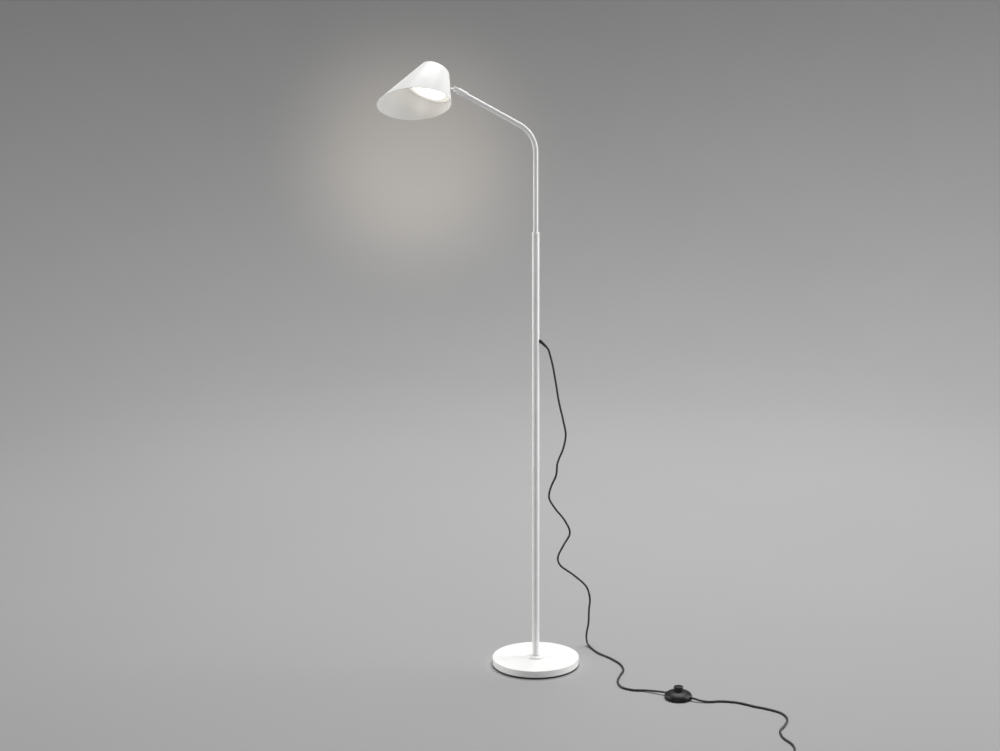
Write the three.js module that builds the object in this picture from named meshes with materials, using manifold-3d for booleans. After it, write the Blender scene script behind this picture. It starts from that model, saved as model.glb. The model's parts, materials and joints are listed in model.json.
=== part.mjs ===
// Adjustable arm floor lamp: round weighted base, two-stage mast with a bent arm that
// slides and swivels, a conical LED head on a knuckle, and a mains cord with a foot switch.
// Millimetres, +Z up. The origin is the centre of the base's underside, on the floor.
// The arm points along -X. The cord leaves the mast on its +X side.

import * as THREE from 'three';
import { mergeVertices } from 'three/addons/utils/BufferGeometryUtils.js';
import Module from 'manifold-3d';

const wasm = await Module();
wasm.setup();

// ---- driving dimensions ------------------------------------------------------------

const TOUCH = 0.3; // gap between pieces that touch across a cut or in a turned group
const RUNNING = 0.2; // radial clearance of a running or sliding fit
const CLOSE = 0.05; // radial clearance of a close fit
const ROUND = 28; // sides of a large turned piece
const SMALL_ROUND = 12; // sides of a small turned piece
const SHELL_ROUND = 32; // sides of the shade and what follows it

const BASE_RADIUS = 115;
const PAD_THICKNESS = 4;
const PAD_RADIUS = BASE_RADIUS + 0.3;
const COVER_HEIGHT = 17;
const COVER_WALL = 1.5;
const COVER_EDGE_RADIUS = 3;
const BASE_TOP = PAD_THICKNESS + COVER_HEIGHT;
const WEIGHT_RADIUS = BASE_RADIUS - COVER_WALL - 0.5;
const WEIGHT_TOP = BASE_TOP - COVER_WALL - TOUCH;
const BOLT_RADIUS = 4;
const BOLT_HOLE_RADIUS = BOLT_RADIUS + 0.5;
const BOLT_RECESS_RADIUS = 13;
const BOLT_RECESS_DEPTH = 9;
const BOLT_HEAD_HEIGHT = 5.3;
const BOLT_HEAD_RADIUS = 7.5; // across corners
const BOLT_WASHER_RADIUS = 10;
const BOLT_WASHER_THICKNESS = 1.6;

const FLANGE_RADIUS = 25;
const FLANGE_HEIGHT = 4.5;
const FLANGE_EDGE_RADIUS = 2;

const MAST_RADIUS = 9.5;
const MAST_WALL = 1.2;
const MAST_BORE = MAST_RADIUS - MAST_WALL;
const COLLAR_TOP = 1158;
const COLLAR_LIP = 6;
const COLLAR_SPIGOT = 18;
const COLLAR_EDGE_RADIUS = 2;
const MAST_TOP = COLLAR_TOP - COLLAR_LIP;
const FOOT_INSERT_LENGTH = 30;
const FOOT_THREAD_DEPTH = 24;
const FOOT_BOLT_REACH = 22; // above the base's top

const CORD_EXIT_HEIGHT = 876;
const CORD_HOLE_RADIUS = 4.8;

const ARM_RADIUS = 6.5;
const ARM_WALL = 1;
const ARM_BORE = ARM_RADIUS - ARM_WALL;
const ARM_CORNER_HEIGHT = 1407.6; // where the mast axis and the arm axis would cross
const ARM_RISE = 28.7; // degrees above level
const ARM_LENGTH = 229; // from that corner to the knuckle pin
const ARM_BEND_RADIUS = 78;
const ARM_INSERTION = 80; // length of arm tube inside the mast when fully raised
const ARM_FOOT = COLLAR_TOP - ARM_INSERTION;
const GROOVE_HALF = 1.2; // half the width of the friction ring's groove
const GROOVE_DEPTH = 0.8;

const SLEEVE_RADIUS = 8;
const SLEEVE_LENGTH = 36; // along the lower side, from the seam to the mitred end
const SLEEVE_SOCKET = 20; // depth that the arm tube enters the sleeve
const MITRE_OFFSET = 4.3; // from the knuckle pin to the upright end face
const EYE_WIDTH = 7.4;
const FORK_GAP = 9;
const EYE_RADIUS = 4.6;
const PIN_RADIUS = 2;
const FORK_DEPTH = 6; // behind the pin

const SCREW_FROM_SEAM = 7; // grub screw that holds the sleeve on the arm tube
const GRUB_RADIUS = 1.5;

const STEM_RADIUS = 4.4;
const STEM_BORE = 2.2;
const NECK_RADIUS = 3.5;
const NECK_HOLE_RADIUS = NECK_RADIUS + 0.3;
const OUTER_WASHER_RADIUS = 5.6;
const INNER_WASHER_RADIUS = 6.5;
const NUT_RADIUS = 6.4; // across corners
const STEM_REACH = 13.3; // from the pin to the outside of the shade wall
const WALL_GAP = 0.8; // a flat washer against the curved wall

const HEAD_ROLL = -30.75; // about the stem, at rest
const SHADE_HALF_ANGLE = 24.6;
const SHADE_LEAN = 19.5; // cone axis from the upright, opening outward
const SHADE_WALL = 1.2;
const STEM_SLANT = 131.6; // from the cone's apex down the back wall to the stem
const CROWN_TOP = 67.5; // axial distances from the cone's apex
const CROWN_RADIUS = 66;
const CROWN_EDGE_RADIUS = 9;
const RIM_BACK = 152.6;
const RIM_FRONT = 224.3;

const PLATE_STATION = 106;
const PLATE_THICKNESS = 2;
const EMITTER_RADIUS = 9;
const LENS_STATION = 134;
const LENS_RADIUS = 48;
const LENS_THICKNESS = 2;
const LENS_CROWN = 4;

const CORD_RADIUS = 2.7;
const CORD_SIDES = 8;
const SWITCH_CENTRE = new THREE.Vector2(362, -249);
const SWITCH_TURN = -31; // degrees, direction of the cord through it
const SWITCH_RADIUS = 35;
const SWITCH_BASE_HEIGHT = 6;
const SWITCH_TOP = 21;
const SWITCH_WALL = 2;
const SWITCH_CORD_HEIGHT = 7.5;
const BUTTON_RADIUS = 12;
const BUTTON_PROUD = 11;
const BUTTON_TRAVEL = 4;
const FOOT_PAD_HEIGHT = 1.2;
const SWITCH_SCREW_CIRCLE = 22;

const COIL_CENTRE = new THREE.Vector2(600, -680);
const COIL_RADIUS = 30; // to the middle of its turns
const COIL_LAYERS = 2; // turns side by side and turns on top of each other
const TIE_THICKNESS = 0.9;
const TIE_WIDTH = 9;

// ---- materials ---------------------------------------------------------------------

const finish = (color, roughness, metalness) => ({ color, roughness, metalness });
const WHITE_PAINT = finish(0xf2f2f0, 0.45, 0);
const WHITE_PLASTIC = finish(0xefefec, 0.5, 0);
const BLACK_PLASTIC = finish(0x121212, 0.4, 0);
const BLACK_RUBBER = finish(0x161616, 0.85, 0);
const CAST_IRON = finish(0x4a4a48, 0.7, 1);
const STEEL = finish(0xb8b8b8, 0.3, 1);
const BRASS = finish(0xc9a353, 0.3, 1);
const ALUMINIUM = finish(0xd0d2d4, 0.35, 1);
const OPAL = finish(0xfff6e4, 0.6, 0);
const BOARD = finish(0xf5f5f0, 0.5, 0);
const LED_PHOSPHOR = finish(0xf2d24a, 0.5, 0);
const NYLON = finish(0xe6e2d6, 0.6, 0);

// ---- shape helpers -----------------------------------------------------------------

const rad = THREE.MathUtils.degToRad;
const lamp = new THREE.Group();

// Adds one named piece to a group.
function piece(group, name, geometry, look) {
  const mesh = new THREE.Mesh(geometry, new THREE.MeshStandardMaterial(look));
  mesh.name = name;
  group.add(mesh);
  return mesh;
}

// Points of an arc in the plane of an outline, ends included. Angles in degrees.
function arc(centreX, centreY, radius, from, to, steps) {
  const points = [];
  for (let i = 0; i <= steps; i += 1) {
    const angle = rad(from + ((to - from) * i) / steps);
    points.push([centreX + radius * Math.cos(angle), centreY + radius * Math.sin(angle)]);
  }
  return points;
}

// A solid of revolution about +Z. The outline holds [radius, height] pairs, listed
// anticlockwise with radius to the right, from the axis back to the axis or closed.
function turned(outline, sides = ROUND) {
  const points = outline.map(([radius, height]) => new THREE.Vector2(radius, height));
  return new THREE.LatheGeometry(points, sides).rotateX(Math.PI / 2);
}

function rod(radius, from, to, sides = SMALL_ROUND) {
  return turned([[0, from], [radius, from], [radius, to], [0, to]], sides);
}

function ring(inner, outer, from, to, sides = SMALL_ROUND) {
  return turned([[inner, from], [outer, from], [outer, to], [inner, to], [inner, from]], sides);
}

const THROUGH = 200; // reach of a cutting tool that goes right through

// Corner radius of a many-sided bore whose flats clear a bar of the given radius.
const boreFor = (radius, sides = SMALL_ROUND) => radius / Math.cos(Math.PI / sides);

// Lays a solid made along +Z along another axis.
const alongX = (geometry) => geometry.rotateY(Math.PI / 2);
const alongY = (geometry) => geometry.rotateX(-Math.PI / 2);

function solid(geometry) {
  const bare = geometry.clone();
  bare.deleteAttribute('normal');
  bare.deleteAttribute('uv');
  const merged = mergeVertices(bare, 1e-4);
  return new wasm.Manifold(new wasm.Mesh({
    numProp: 3,
    vertProperties: new Float32Array(merged.attributes.position.array),
    triVerts: new Uint32Array(merged.index.array),
  }));
}

function shape(manifold) {
  const mesh = manifold.getMesh();
  const geometry = new THREE.BufferGeometry();
  const places = new Float32Array(mesh.vertProperties);
  geometry.setAttribute('position', new THREE.BufferAttribute(places, 3));
  geometry.setIndex(new THREE.BufferAttribute(new Uint32Array(mesh.triVerts), 1));
  return geometry;
}

function cut(body, ...tools) {
  return shape(tools.reduce((left, tool) => left.subtract(solid(tool)), solid(body)));
}

function join(body, ...others) {
  return shape(others.reduce((sum, other) => sum.add(solid(other)), solid(body)));
}

function common(body, other) {
  return shape(solid(body).intersect(solid(other)));
}

// Copies of one solid, evenly spaced on a circle about +Z, the first at a start angle.
function around(geometry, radius, count, start = 0) {
  const copies = [];
  for (let i = 0; i < count; i += 1) {
    const copy = geometry.clone().translate(radius, 0, 0);
    copies.push(copy.rotateZ(rad(start) + (2 * Math.PI * i) / count));
  }
  return copies;
}

// Adds each solid of a list as its own piece, numbered from 1.
function numbered(group, name, geometries, look) {
  geometries.forEach((geometry, i) => piece(group, `${name}_${i + 1}`, geometry, look));
}

// A path through stations that the extrusion uses as they are: few on a straight run
// and many in a bend.
class Stations extends THREE.Curve {
  constructor(points) {
    super();
    this.points = points;
  }

  getUtoTmapping(u) {
    return u;
  }

  getPoint(t, target = new THREE.Vector3()) {
    const last = this.points.length - 1;
    const place = Math.min(Math.max(t, 0), 1) * last;
    const index = Math.min(Math.floor(place), last - 1);
    return target.lerpVectors(this.points[index], this.points[index + 1], place - index);
  }
}

function circle(radius, sides) {
  const outline = new THREE.Shape();
  for (let i = 0; i < sides; i += 1) {
    const angle = (2 * Math.PI * (i + 0.5)) / sides;
    outline[i ? 'lineTo' : 'moveTo'](radius * Math.cos(angle), radius * Math.sin(angle));
  }
  outline.closePath();
  return outline;
}

// A round bar, or a tube where an inner radius is given, along a list of points.
function swept(points, radius, inner = 0, sides = SMALL_ROUND) {
  const section = circle(radius, sides);
  if (inner) section.holes.push(circle(inner, sides));
  const steps = points.length - 1;
  return new THREE.ExtrudeGeometry(section, { steps, extrudePath: new Stations(points) });
}

// A cord through chosen points, rounded into one smooth curve. A short straight stub at
// each end squares its end faces to what they meet.
function cord(points, steps) {
  const route = points.map((point) => new THREE.Vector3(...point));
  const curve = new THREE.CatmullRomCurve3(route, false, 'centripetal');
  const stations = curve.getSpacedPoints(steps);
  const stub = CORD_RADIUS;
  const first = stations[0].clone().addScaledVector(curve.getTangent(0), stub);
  const last = stations[steps].clone().addScaledVector(curve.getTangent(1), -stub);
  stations.splice(steps, 0, last);
  stations.splice(1, 0, first);
  return swept(stations, CORD_RADIUS, 0, CORD_SIDES);
}

// ---- base --------------------------------------------------------------------------

function makeBase() {
  const hole = BOLT_HOLE_RADIUS;
  const edge = COVER_EDGE_RADIUS;
  const innerEdge = edge - COVER_WALL;
  const skin = BASE_RADIUS - COVER_WALL;
  piece(lamp, 'base_pad', rod(PAD_RADIUS, 0, PAD_THICKNESS, ROUND), BLACK_RUBBER);

  const weightOutline = [
    [hole, PAD_THICKNESS],
    [WEIGHT_RADIUS, PAD_THICKNESS],
    [WEIGHT_RADIUS, WEIGHT_TOP - edge],
    [WEIGHT_RADIUS - edge, WEIGHT_TOP],
    [hole, WEIGHT_TOP],
    [hole, PAD_THICKNESS],
  ];
  const recess = rod(BOLT_RECESS_RADIUS, PAD_THICKNESS - 1, PAD_THICKNESS + BOLT_RECESS_DEPTH);
  piece(lamp, 'base_weight', cut(turned(weightOutline), recess), CAST_IRON);

  const coverOutline = [
    [skin, PAD_THICKNESS],
    [BASE_RADIUS, PAD_THICKNESS],
    ...arc(BASE_RADIUS - edge, BASE_TOP - edge, edge, 0, 90, 3),
    [hole, BASE_TOP],
    [hole, BASE_TOP - COVER_WALL],
    ...arc(BASE_RADIUS - edge, BASE_TOP - edge, innerEdge, 90, 0, 2),
    [skin, PAD_THICKNESS],
  ];
  piece(lamp, 'base_cover', turned(coverOutline), WHITE_PAINT);

  const flangeTop = BASE_TOP + FLANGE_HEIGHT;
  const flangeBore = MAST_RADIUS + RUNNING;
  const flangeEdge = FLANGE_EDGE_RADIUS;
  const flangeOutline = [
    [flangeBore, BASE_TOP],
    [FLANGE_RADIUS, BASE_TOP],
    ...arc(FLANGE_RADIUS - flangeEdge, flangeTop - flangeEdge, flangeEdge, 0, 90, 3),
    [flangeBore, flangeTop],
    [flangeBore, BASE_TOP],
  ];
  piece(lamp, 'mast_flange', turned(flangeOutline), WHITE_PAINT);

  const washerTop = PAD_THICKNESS + BOLT_RECESS_DEPTH;
  const headTop = washerTop - BOLT_WASHER_THICKNESS;
  const washer = ring(BOLT_HOLE_RADIUS, BOLT_WASHER_RADIUS, headTop, washerTop);
  piece(lamp, 'foot_washer', washer, STEEL);
  const head = rod(BOLT_HEAD_RADIUS, headTop - BOLT_HEAD_HEIGHT, headTop, 6);
  const shank = rod(BOLT_RADIUS, headTop - 1, BASE_TOP + FOOT_BOLT_REACH);
  piece(lamp, 'foot_bolt', join(head, shank), STEEL);
}

// ---- mast --------------------------------------------------------------------------

function makeMast() {
  const tube = ring(MAST_BORE, MAST_RADIUS, BASE_TOP, MAST_TOP, 24);
  const hole = alongX(rod(CORD_HOLE_RADIUS, 0, 2 * MAST_RADIUS));
  hole.translate(0, 0, CORD_EXIT_HEIGHT);
  piece(lamp, 'mast_tube', cut(tube, hole), WHITE_PAINT);

  const threadTop = BASE_TOP + FOOT_THREAD_DEPTH;
  const insert = ring(boreFor(BOLT_RADIUS), MAST_BORE - RUNNING, BASE_TOP, threadTop);
  const cap = rod(MAST_BORE - RUNNING, threadTop, BASE_TOP + FOOT_INSERT_LENGTH);
  piece(lamp, 'foot_insert', join(insert, cap), STEEL);

  // The collar guides the arm tube and closes the mast's upper end. A rubber ring in its
  // groove gives the sliding friction.
  const bore = boreFor(ARM_RADIUS + RUNNING, 24);
  const spigot = MAST_BORE - RUNNING;
  const edge = COLLAR_EDGE_RADIUS;
  const grooveRadius = bore + GROOVE_DEPTH;
  const grooveMid = MAST_TOP - COLLAR_SPIGOT / 2;
  const collarOutline = [
    [bore, MAST_TOP - COLLAR_SPIGOT],
    [spigot, MAST_TOP - COLLAR_SPIGOT],
    [spigot, MAST_TOP],
    [MAST_RADIUS, MAST_TOP],
    ...arc(MAST_RADIUS - edge, COLLAR_TOP - edge, edge, 0, 90, 3),
    [bore, COLLAR_TOP],
    [bore, grooveMid + GROOVE_HALF],
    [grooveRadius, grooveMid + GROOVE_HALF],
    [grooveRadius, grooveMid - GROOVE_HALF],
    [bore, grooveMid - GROOVE_HALF],
    [bore, MAST_TOP - COLLAR_SPIGOT],
  ];
  piece(lamp, 'mast_collar', turned(collarOutline, 24), WHITE_PLASTIC);
  const half = GROOVE_HALF - RUNNING;
  const grip = boreFor(ARM_RADIUS + CLOSE, 24);
  const friction = ring(grip, grooveRadius - CLOSE, grooveMid - half, grooveMid + half, 24);
  piece(lamp, 'friction_ring', friction, BLACK_RUBBER);
}

// ---- cord gland and inner lead -----------------------------------------------------

const RELIEF_DROP = 44; // degrees below level
const RELIEF_LENGTH = 21;
const RELIEF_ELBOW = MAST_RADIUS + 2.5;
const RELIEF_RADIUS = CORD_HOLE_RADIUS - TOUCH;
const RELIEF_TIP_RADIUS = CORD_RADIUS + 0.7;
const CLAMP_HEIGHT = 20;
const CLAMP_FACE = MAST_BORE - 3; // flat side of the clamp, behind the gland
const COILED_LEAD_RADIUS = 6;
const COILED_LEAD_WIRE = 3;

function makeCordEntry() {
  const block = rod(MAST_BORE - RUNNING, -CLAMP_HEIGHT / 2, CLAMP_HEIGHT / 2);
  const flat = new THREE.BoxGeometry(MAST_BORE, 2 * MAST_RADIUS, 2 * CLAMP_HEIGHT);
  flat.translate(CLAMP_FACE + MAST_BORE / 2, 0, 0);
  const clamp = cut(block, flat).translate(0, 0, CORD_EXIT_HEIGHT);
  piece(lamp, 'cord_clamp', clamp, NYLON);

  const neck = alongX(rod(RELIEF_RADIUS, CLAMP_FACE + TOUCH, RELIEF_ELBOW));
  const elbow = new THREE.SphereGeometry(RELIEF_RADIUS, SMALL_ROUND, 10);
  elbow.translate(RELIEF_ELBOW, 0, 0);
  const taper = turned([
    [0, 0],
    [RELIEF_RADIUS, 0],
    [RELIEF_TIP_RADIUS, RELIEF_LENGTH],
    [0, RELIEF_LENGTH],
  ], SMALL_ROUND);
  taper.rotateY(rad(90 + RELIEF_DROP)).translate(RELIEF_ELBOW, 0, 0);
  const relief = join(neck, elbow, taper).translate(0, 0, CORD_EXIT_HEIGHT);
  piece(lamp, 'cord_relief', relief, BLACK_RUBBER);

  // The lead inside the mast is wound like a spring, so that it follows the arm tube.
  const from = CORD_EXIT_HEIGHT + CLAMP_HEIGHT / 2 + TOUCH;
  const to = ARM_FOOT - 2 * TOUCH;
  const coiled = ring(COILED_LEAD_RADIUS - COILED_LEAD_WIRE, COILED_LEAD_RADIUS, from, to);
  piece(lamp, 'coiled_lead', coiled, BLACK_RUBBER);
}

// ---- arm ---------------------------------------------------------------------------

const riseX = -Math.cos(rad(ARM_RISE));
const riseZ = Math.sin(rad(ARM_RISE));
const PIN = new THREE.Vector3(ARM_LENGTH * riseX, 0, ARM_CORNER_HEIGHT + ARM_LENGTH * riseZ);

// A point on the arm's axis, at a distance from the corner towards the knuckle pin.
function onArm(distance) {
  return new THREE.Vector3(distance * riseX, 0, ARM_CORNER_HEIGHT + distance * riseZ);
}

// Stations along the mast axis, round the bend and along the arm to a given distance.
function armRoute(foot, reach) {
  const turn = rad(90 - ARM_RISE);
  const tangent = ARM_BEND_RADIUS * Math.tan(turn / 2);
  const centreZ = ARM_CORNER_HEIGHT - tangent;
  const bendSteps = 8;
  const points = [new THREE.Vector3(0, 0, foot)];
  for (let i = 0; i <= bendSteps; i += 1) {
    const angle = (turn * i) / bendSteps;
    const x = -ARM_BEND_RADIUS * (1 - Math.cos(angle));
    points.push(new THREE.Vector3(x, 0, centreZ + ARM_BEND_RADIUS * Math.sin(angle)));
  }
  points.push(onArm(reach));
  return points;
}

const SLEEVE_END = ARM_LENGTH + MITRE_OFFSET;
const SLEEVE_SEAM = SLEEVE_END - SLEEVE_LENGTH;
const ARM_END = SLEEVE_SEAM + SLEEVE_SOCKET;
const BUSH_LENGTH = 14;
const BUSH_FOOT = ARM_FOOT + 6;
const CLIP_THICKNESS = 1.5;

function makeArm() {
  const tube = swept(armRoute(ARM_FOOT, ARM_END), ARM_RADIUS, ARM_BORE);
  piece(lamp, 'arm_tube', tube, WHITE_PAINT);
  const lead = swept(armRoute(ARM_FOOT, ARM_END - 2), CORD_RADIUS, 0, CORD_SIDES);
  piece(lamp, 'arm_lead', lead, BLACK_RUBBER);

  // A nylon bush guides the arm tube's lower end. It slides in the mast with the tube, and
  // the tube turns in it between two clips.
  const bushTop = BUSH_FOOT + BUSH_LENGTH;
  const bush = ring(boreFor(ARM_RADIUS + RUNNING), MAST_BORE - RUNNING, BUSH_FOOT, bushTop);
  piece(lamp, 'guide_bush', bush, NYLON);
  const clipBore = boreFor(ARM_RADIUS + CLOSE);
  const clipOuter = MAST_BORE - 2 * RUNNING;
  const clipFeet = [BUSH_FOOT - TOUCH - CLIP_THICKNESS, bushTop + TOUCH];
  const clips = clipFeet.map((foot) => ring(clipBore, clipOuter, foot, foot + CLIP_THICKNESS));
  numbered(lamp, 'guide_clip', clips, STEEL);

  // The sleeve's frame: +Z runs along the arm towards the head, +Y stays +Y.
  const sleeveFrame = new THREE.Group();
  sleeveFrame.position.copy(onArm(ARM_LENGTH));
  sleeveFrame.rotation.y = rad(ARM_RISE - 90);
  lamp.add(sleeveFrame);

  const seam = SLEEVE_SEAM - ARM_LENGTH;
  const long = 2 * SLEEVE_RADIUS + MITRE_OFFSET;
  const chamfer = 0.6;
  const bar = turned([
    [0, seam],
    [SLEEVE_RADIUS - chamfer, seam],
    [SLEEVE_RADIUS, seam + chamfer],
    [SLEEVE_RADIUS, long],
    [0, long],
  ], 24);
  const socketBore = boreFor(ARM_RADIUS + RUNNING, 24);
  const socket = rod(socketBore, seam - 1, seam + SLEEVE_SOCKET + TOUCH, 24);
  const leadWay = rod(CORD_RADIUS + TOUCH, seam, 0);
  const slot = new THREE.BoxGeometry(THROUGH, FORK_GAP, FORK_DEPTH + long);
  slot.translate(0, 0, (long - FORK_DEPTH) / 2);
  const pinHole = alongY(rod(boreFor(PIN_RADIUS + CLOSE), -THROUGH, THROUGH));
  const screwHeight = seam + SCREW_FROM_SEAM;
  const screwHole = alongX(rod(boreFor(GRUB_RADIUS), -THROUGH, 0)).translate(0, 0, screwHeight);
  // The end face is upright when the arm is in place, so it is mitred across the sleeve.
  const mitre = new THREE.BoxGeometry(THROUGH, THROUGH, THROUGH).translate(0, 0, THROUGH / 2);
  mitre.rotateY(rad(-ARM_RISE)).translate(0, 0, MITRE_OFFSET);
  const sleeve = cut(bar, socket, leadWay, slot, pinHole, screwHole, mitre);
  piece(sleeveFrame, 'arm_sleeve', sleeve, WHITE_PAINT);
  const pinHalf = Math.sqrt(SLEEVE_RADIUS ** 2 - PIN_RADIUS ** 2) - TOUCH;
  piece(sleeveFrame, 'knuckle_pin', alongY(rod(PIN_RADIUS, -pinHalf, pinHalf)), STEEL);
  const grub = alongX(rod(GRUB_RADIUS, -SLEEVE_RADIUS + TOUCH, -ARM_RADIUS - TOUCH));
  piece(sleeveFrame, 'sleeve_screw', grub.translate(0, 0, screwHeight), STEEL);
}

// ---- head --------------------------------------------------------------------------

// The stem's frame sits on the knuckle pin. The head turns about its X axis.
const stemFrame = new THREE.Group();
stemFrame.position.copy(PIN);
lamp.add(stemFrame);
const headFrame = new THREE.Group();
headFrame.rotation.x = rad(HEAD_ROLL);
stemFrame.add(headFrame);

// The cone's frame has its origin at the virtual apex and +Z along the cone's axis
// towards the opening. Its -X side is the back wall, where the stem enters.
const wallTilt = rad(SHADE_HALF_ANGLE - SHADE_LEAN);
const coneFrame = new THREE.Group();
const apexX = -STEM_REACH - STEM_SLANT * Math.sin(wallTilt);
coneFrame.position.set(apexX, 0, STEM_SLANT * Math.cos(wallTilt));
coneFrame.rotation.y = rad(180 + SHADE_LEAN);
headFrame.add(coneFrame);
coneFrame.updateMatrix();
const intoCone = coneFrame.matrix.clone().invert();

const slope = Math.tan(rad(SHADE_HALF_ANGLE));
const innerShift = SHADE_WALL / Math.sin(rad(SHADE_HALF_ANGLE));
const innerRadius = (station) => (station - innerShift) * slope;

// Outline of a round-topped cone: from its wide end to its crown on the axis.
function coneOutline(offset, wideStation) {
  const angle = rad(SHADE_HALF_ANGLE);
  const corner = CROWN_EDGE_RADIUS - offset;
  const crown = CROWN_RADIUS - offset;
  const crownCentre = CROWN_TOP + CROWN_RADIUS;
  // The corner arc's centre is at the same distance inside the wall and inside the crown.
  let low = CROWN_TOP;
  let high = crownCentre;
  const reach = CROWN_RADIUS - CROWN_EDGE_RADIUS;
  const sideways = (station) => (station * Math.sin(angle) - CROWN_EDGE_RADIUS) / Math.cos(angle);
  const halvings = 40;
  for (let i = 0; i < halvings; i += 1) {
    const middle = (low + high) / 2;
    if (Math.hypot(middle - crownCentre, sideways(middle)) > reach) low = middle;
    else high = middle;
  }
  const crownAngle = THREE.MathUtils.radToDeg(Math.atan2(low - crownCentre, sideways(low)));
  return [
    [(wideStation - offset / Math.sin(angle)) * slope, wideStation],
    ...arc(sideways(low), low, corner, -SHADE_HALF_ANGLE, crownAngle, 4),
    ...arc(0, crownCentre, crown, crownAngle, -90, 5).slice(1, -1),
    [0, crownCentre - crown],
  ];
}

function makeShade() {
  const wide = RIM_FRONT + 12;
  const outer = coneOutline(0, wide);
  const inner = coneOutline(SHADE_WALL, wide);
  const shell = turned([...outer.reverse(), ...inner], SHELL_ROUND);
  const back = new THREE.Vector2(-RIM_BACK * slope, RIM_BACK);
  const front = new THREE.Vector2(RIM_FRONT * slope, RIM_FRONT);
  const tilt = Math.atan2(front.y - back.y, front.x - back.x);
  const reach = 2 * wide;
  const trim = new THREE.BoxGeometry(reach, reach, reach).translate(0, 0, reach / 2);
  trim.rotateY(-tilt).translate((back.x + front.x) / 2, 0, (back.y + front.y) / 2);
  const hole = alongX(rod(NECK_HOLE_RADIUS, -STEM_REACH - 8, -STEM_REACH + 4));
  piece(coneFrame, 'shade', cut(shell, trim, hole.applyMatrix4(intoCone)), WHITE_PAINT);
}

const WALL_CROSSING = SHADE_WALL / Math.cos(wallTilt);
const TAB_THICKNESS = 1.5;
const TAB_OUTER = STEM_REACH + WALL_CROSSING + WALL_GAP;
const INNER_WASHER_FROM = TAB_OUTER + TAB_THICKNESS + WALL_GAP;
const WASHER_THICKNESS = 1;
const NUT_FROM = INNER_WASHER_FROM + WASHER_THICKNESS;
const NUT_HEIGHT = 4;
const NECK_END = NUT_FROM + NUT_HEIGHT + 1.5;

function makeKnuckle() {
  const outerWasher = STEM_REACH - WALL_GAP - WASHER_THICKNESS;
  const eye = alongY(rod(EYE_RADIUS, -EYE_WIDTH / 2, EYE_WIDTH / 2));
  const stem = alongX(rod(STEM_RADIUS, -outerWasher, 0));
  const flats = common(stem, new THREE.BoxGeometry(THROUGH, EYE_WIDTH, THROUGH));
  const shoulder = alongX(rod(STEM_RADIUS, -outerWasher, -outerWasher + 3));
  const neck = alongX(rod(NECK_RADIUS, -NECK_END, -outerWasher + 1));
  // The lead enters the stem through a mouth on its lower side, just beyond the eye.
  const wireWay = alongX(rod(STEM_BORE, -NECK_END - 1, -EYE_RADIUS + 1));
  const wireMouth = rod(STEM_BORE, -THROUGH, 0).translate(-EYE_RADIUS - 1, 0, 0);
  const pinHole = alongY(rod(boreFor(PIN_RADIUS + CLOSE), -THROUGH, THROUGH));
  const body = join(eye, flats, shoulder, neck);
  piece(stemFrame, 'knuckle', cut(body, wireWay, wireMouth, pinHole), WHITE_PAINT);

  const gap = (FORK_GAP - EYE_WIDTH) / 2;
  const washerFeet = [EYE_WIDTH / 2 + CLOSE, -EYE_WIDTH / 2 - gap + CLOSE];
  const thickness = gap - 2 * CLOSE;
  const pinBore = boreFor(PIN_RADIUS + CLOSE);
  const washers = washerFeet.map((foot) => ring(pinBore, EYE_RADIUS, foot, foot + thickness));
  numbered(stemFrame, 'knuckle_washer', washers.map(alongY), NYLON);

  // Along the neck, from the shoulder inwards: washer, shade wall, bracket, washer and nut.
  const bore = boreFor(NECK_RADIUS + CLOSE);
  const outer = ring(bore, OUTER_WASHER_RADIUS, -STEM_REACH + WALL_GAP, -outerWasher - CLOSE);
  piece(headFrame, 'outer_washer', alongX(outer), NYLON);
  const inner = ring(bore, INNER_WASHER_RADIUS, -NUT_FROM, -INNER_WASHER_FROM);
  piece(headFrame, 'inner_washer', alongX(inner), STEEL);
  const nut = cut(rod(NUT_RADIUS, -NUT_FROM - NUT_HEIGHT, -NUT_FROM, 6), rod(bore, -THROUGH, 0));
  piece(headFrame, 'stem_nut', alongX(nut), STEEL);
}

const BOARD_RADIUS = 30;
const BOARD_THICKNESS = 1.6;
const BOARD_FACE = PLATE_STATION + PLATE_THICKNESS + BOARD_THICKNESS;
const SCREW_CIRCLE = 26;
const SCREW_COUNT = 3;
const LEAD_HOLE_X = -41.3;
const LEAD_HOLE_RADIUS = 2.6;
const LEAD_RADIUS = 1.9;
const DRIVER_SIZE = new THREE.Vector3(32, 54, 20);
const DRIVER_SIDE = -DRIVER_SIZE.x / 2;
const DRIVER_GAP = 4; // below the bracket's plate
const TAB_WIDTH = 14;
const TAB_LENGTH = 26;
const TAB_PAST_STEM = 9; // how far the tab runs on past the stem
const BOARD_SCREW_RADIUS = 1.5;
const BOARD_SCREW_HEAD = 2.8;
const REFLECTOR_STEP = 14; // height of the steeper part of the reflector
const REFLECTOR_WALL = 1.5;
const BEZEL_WALL = 1.2;
const BEZEL_SKIRT = 5;

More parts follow.
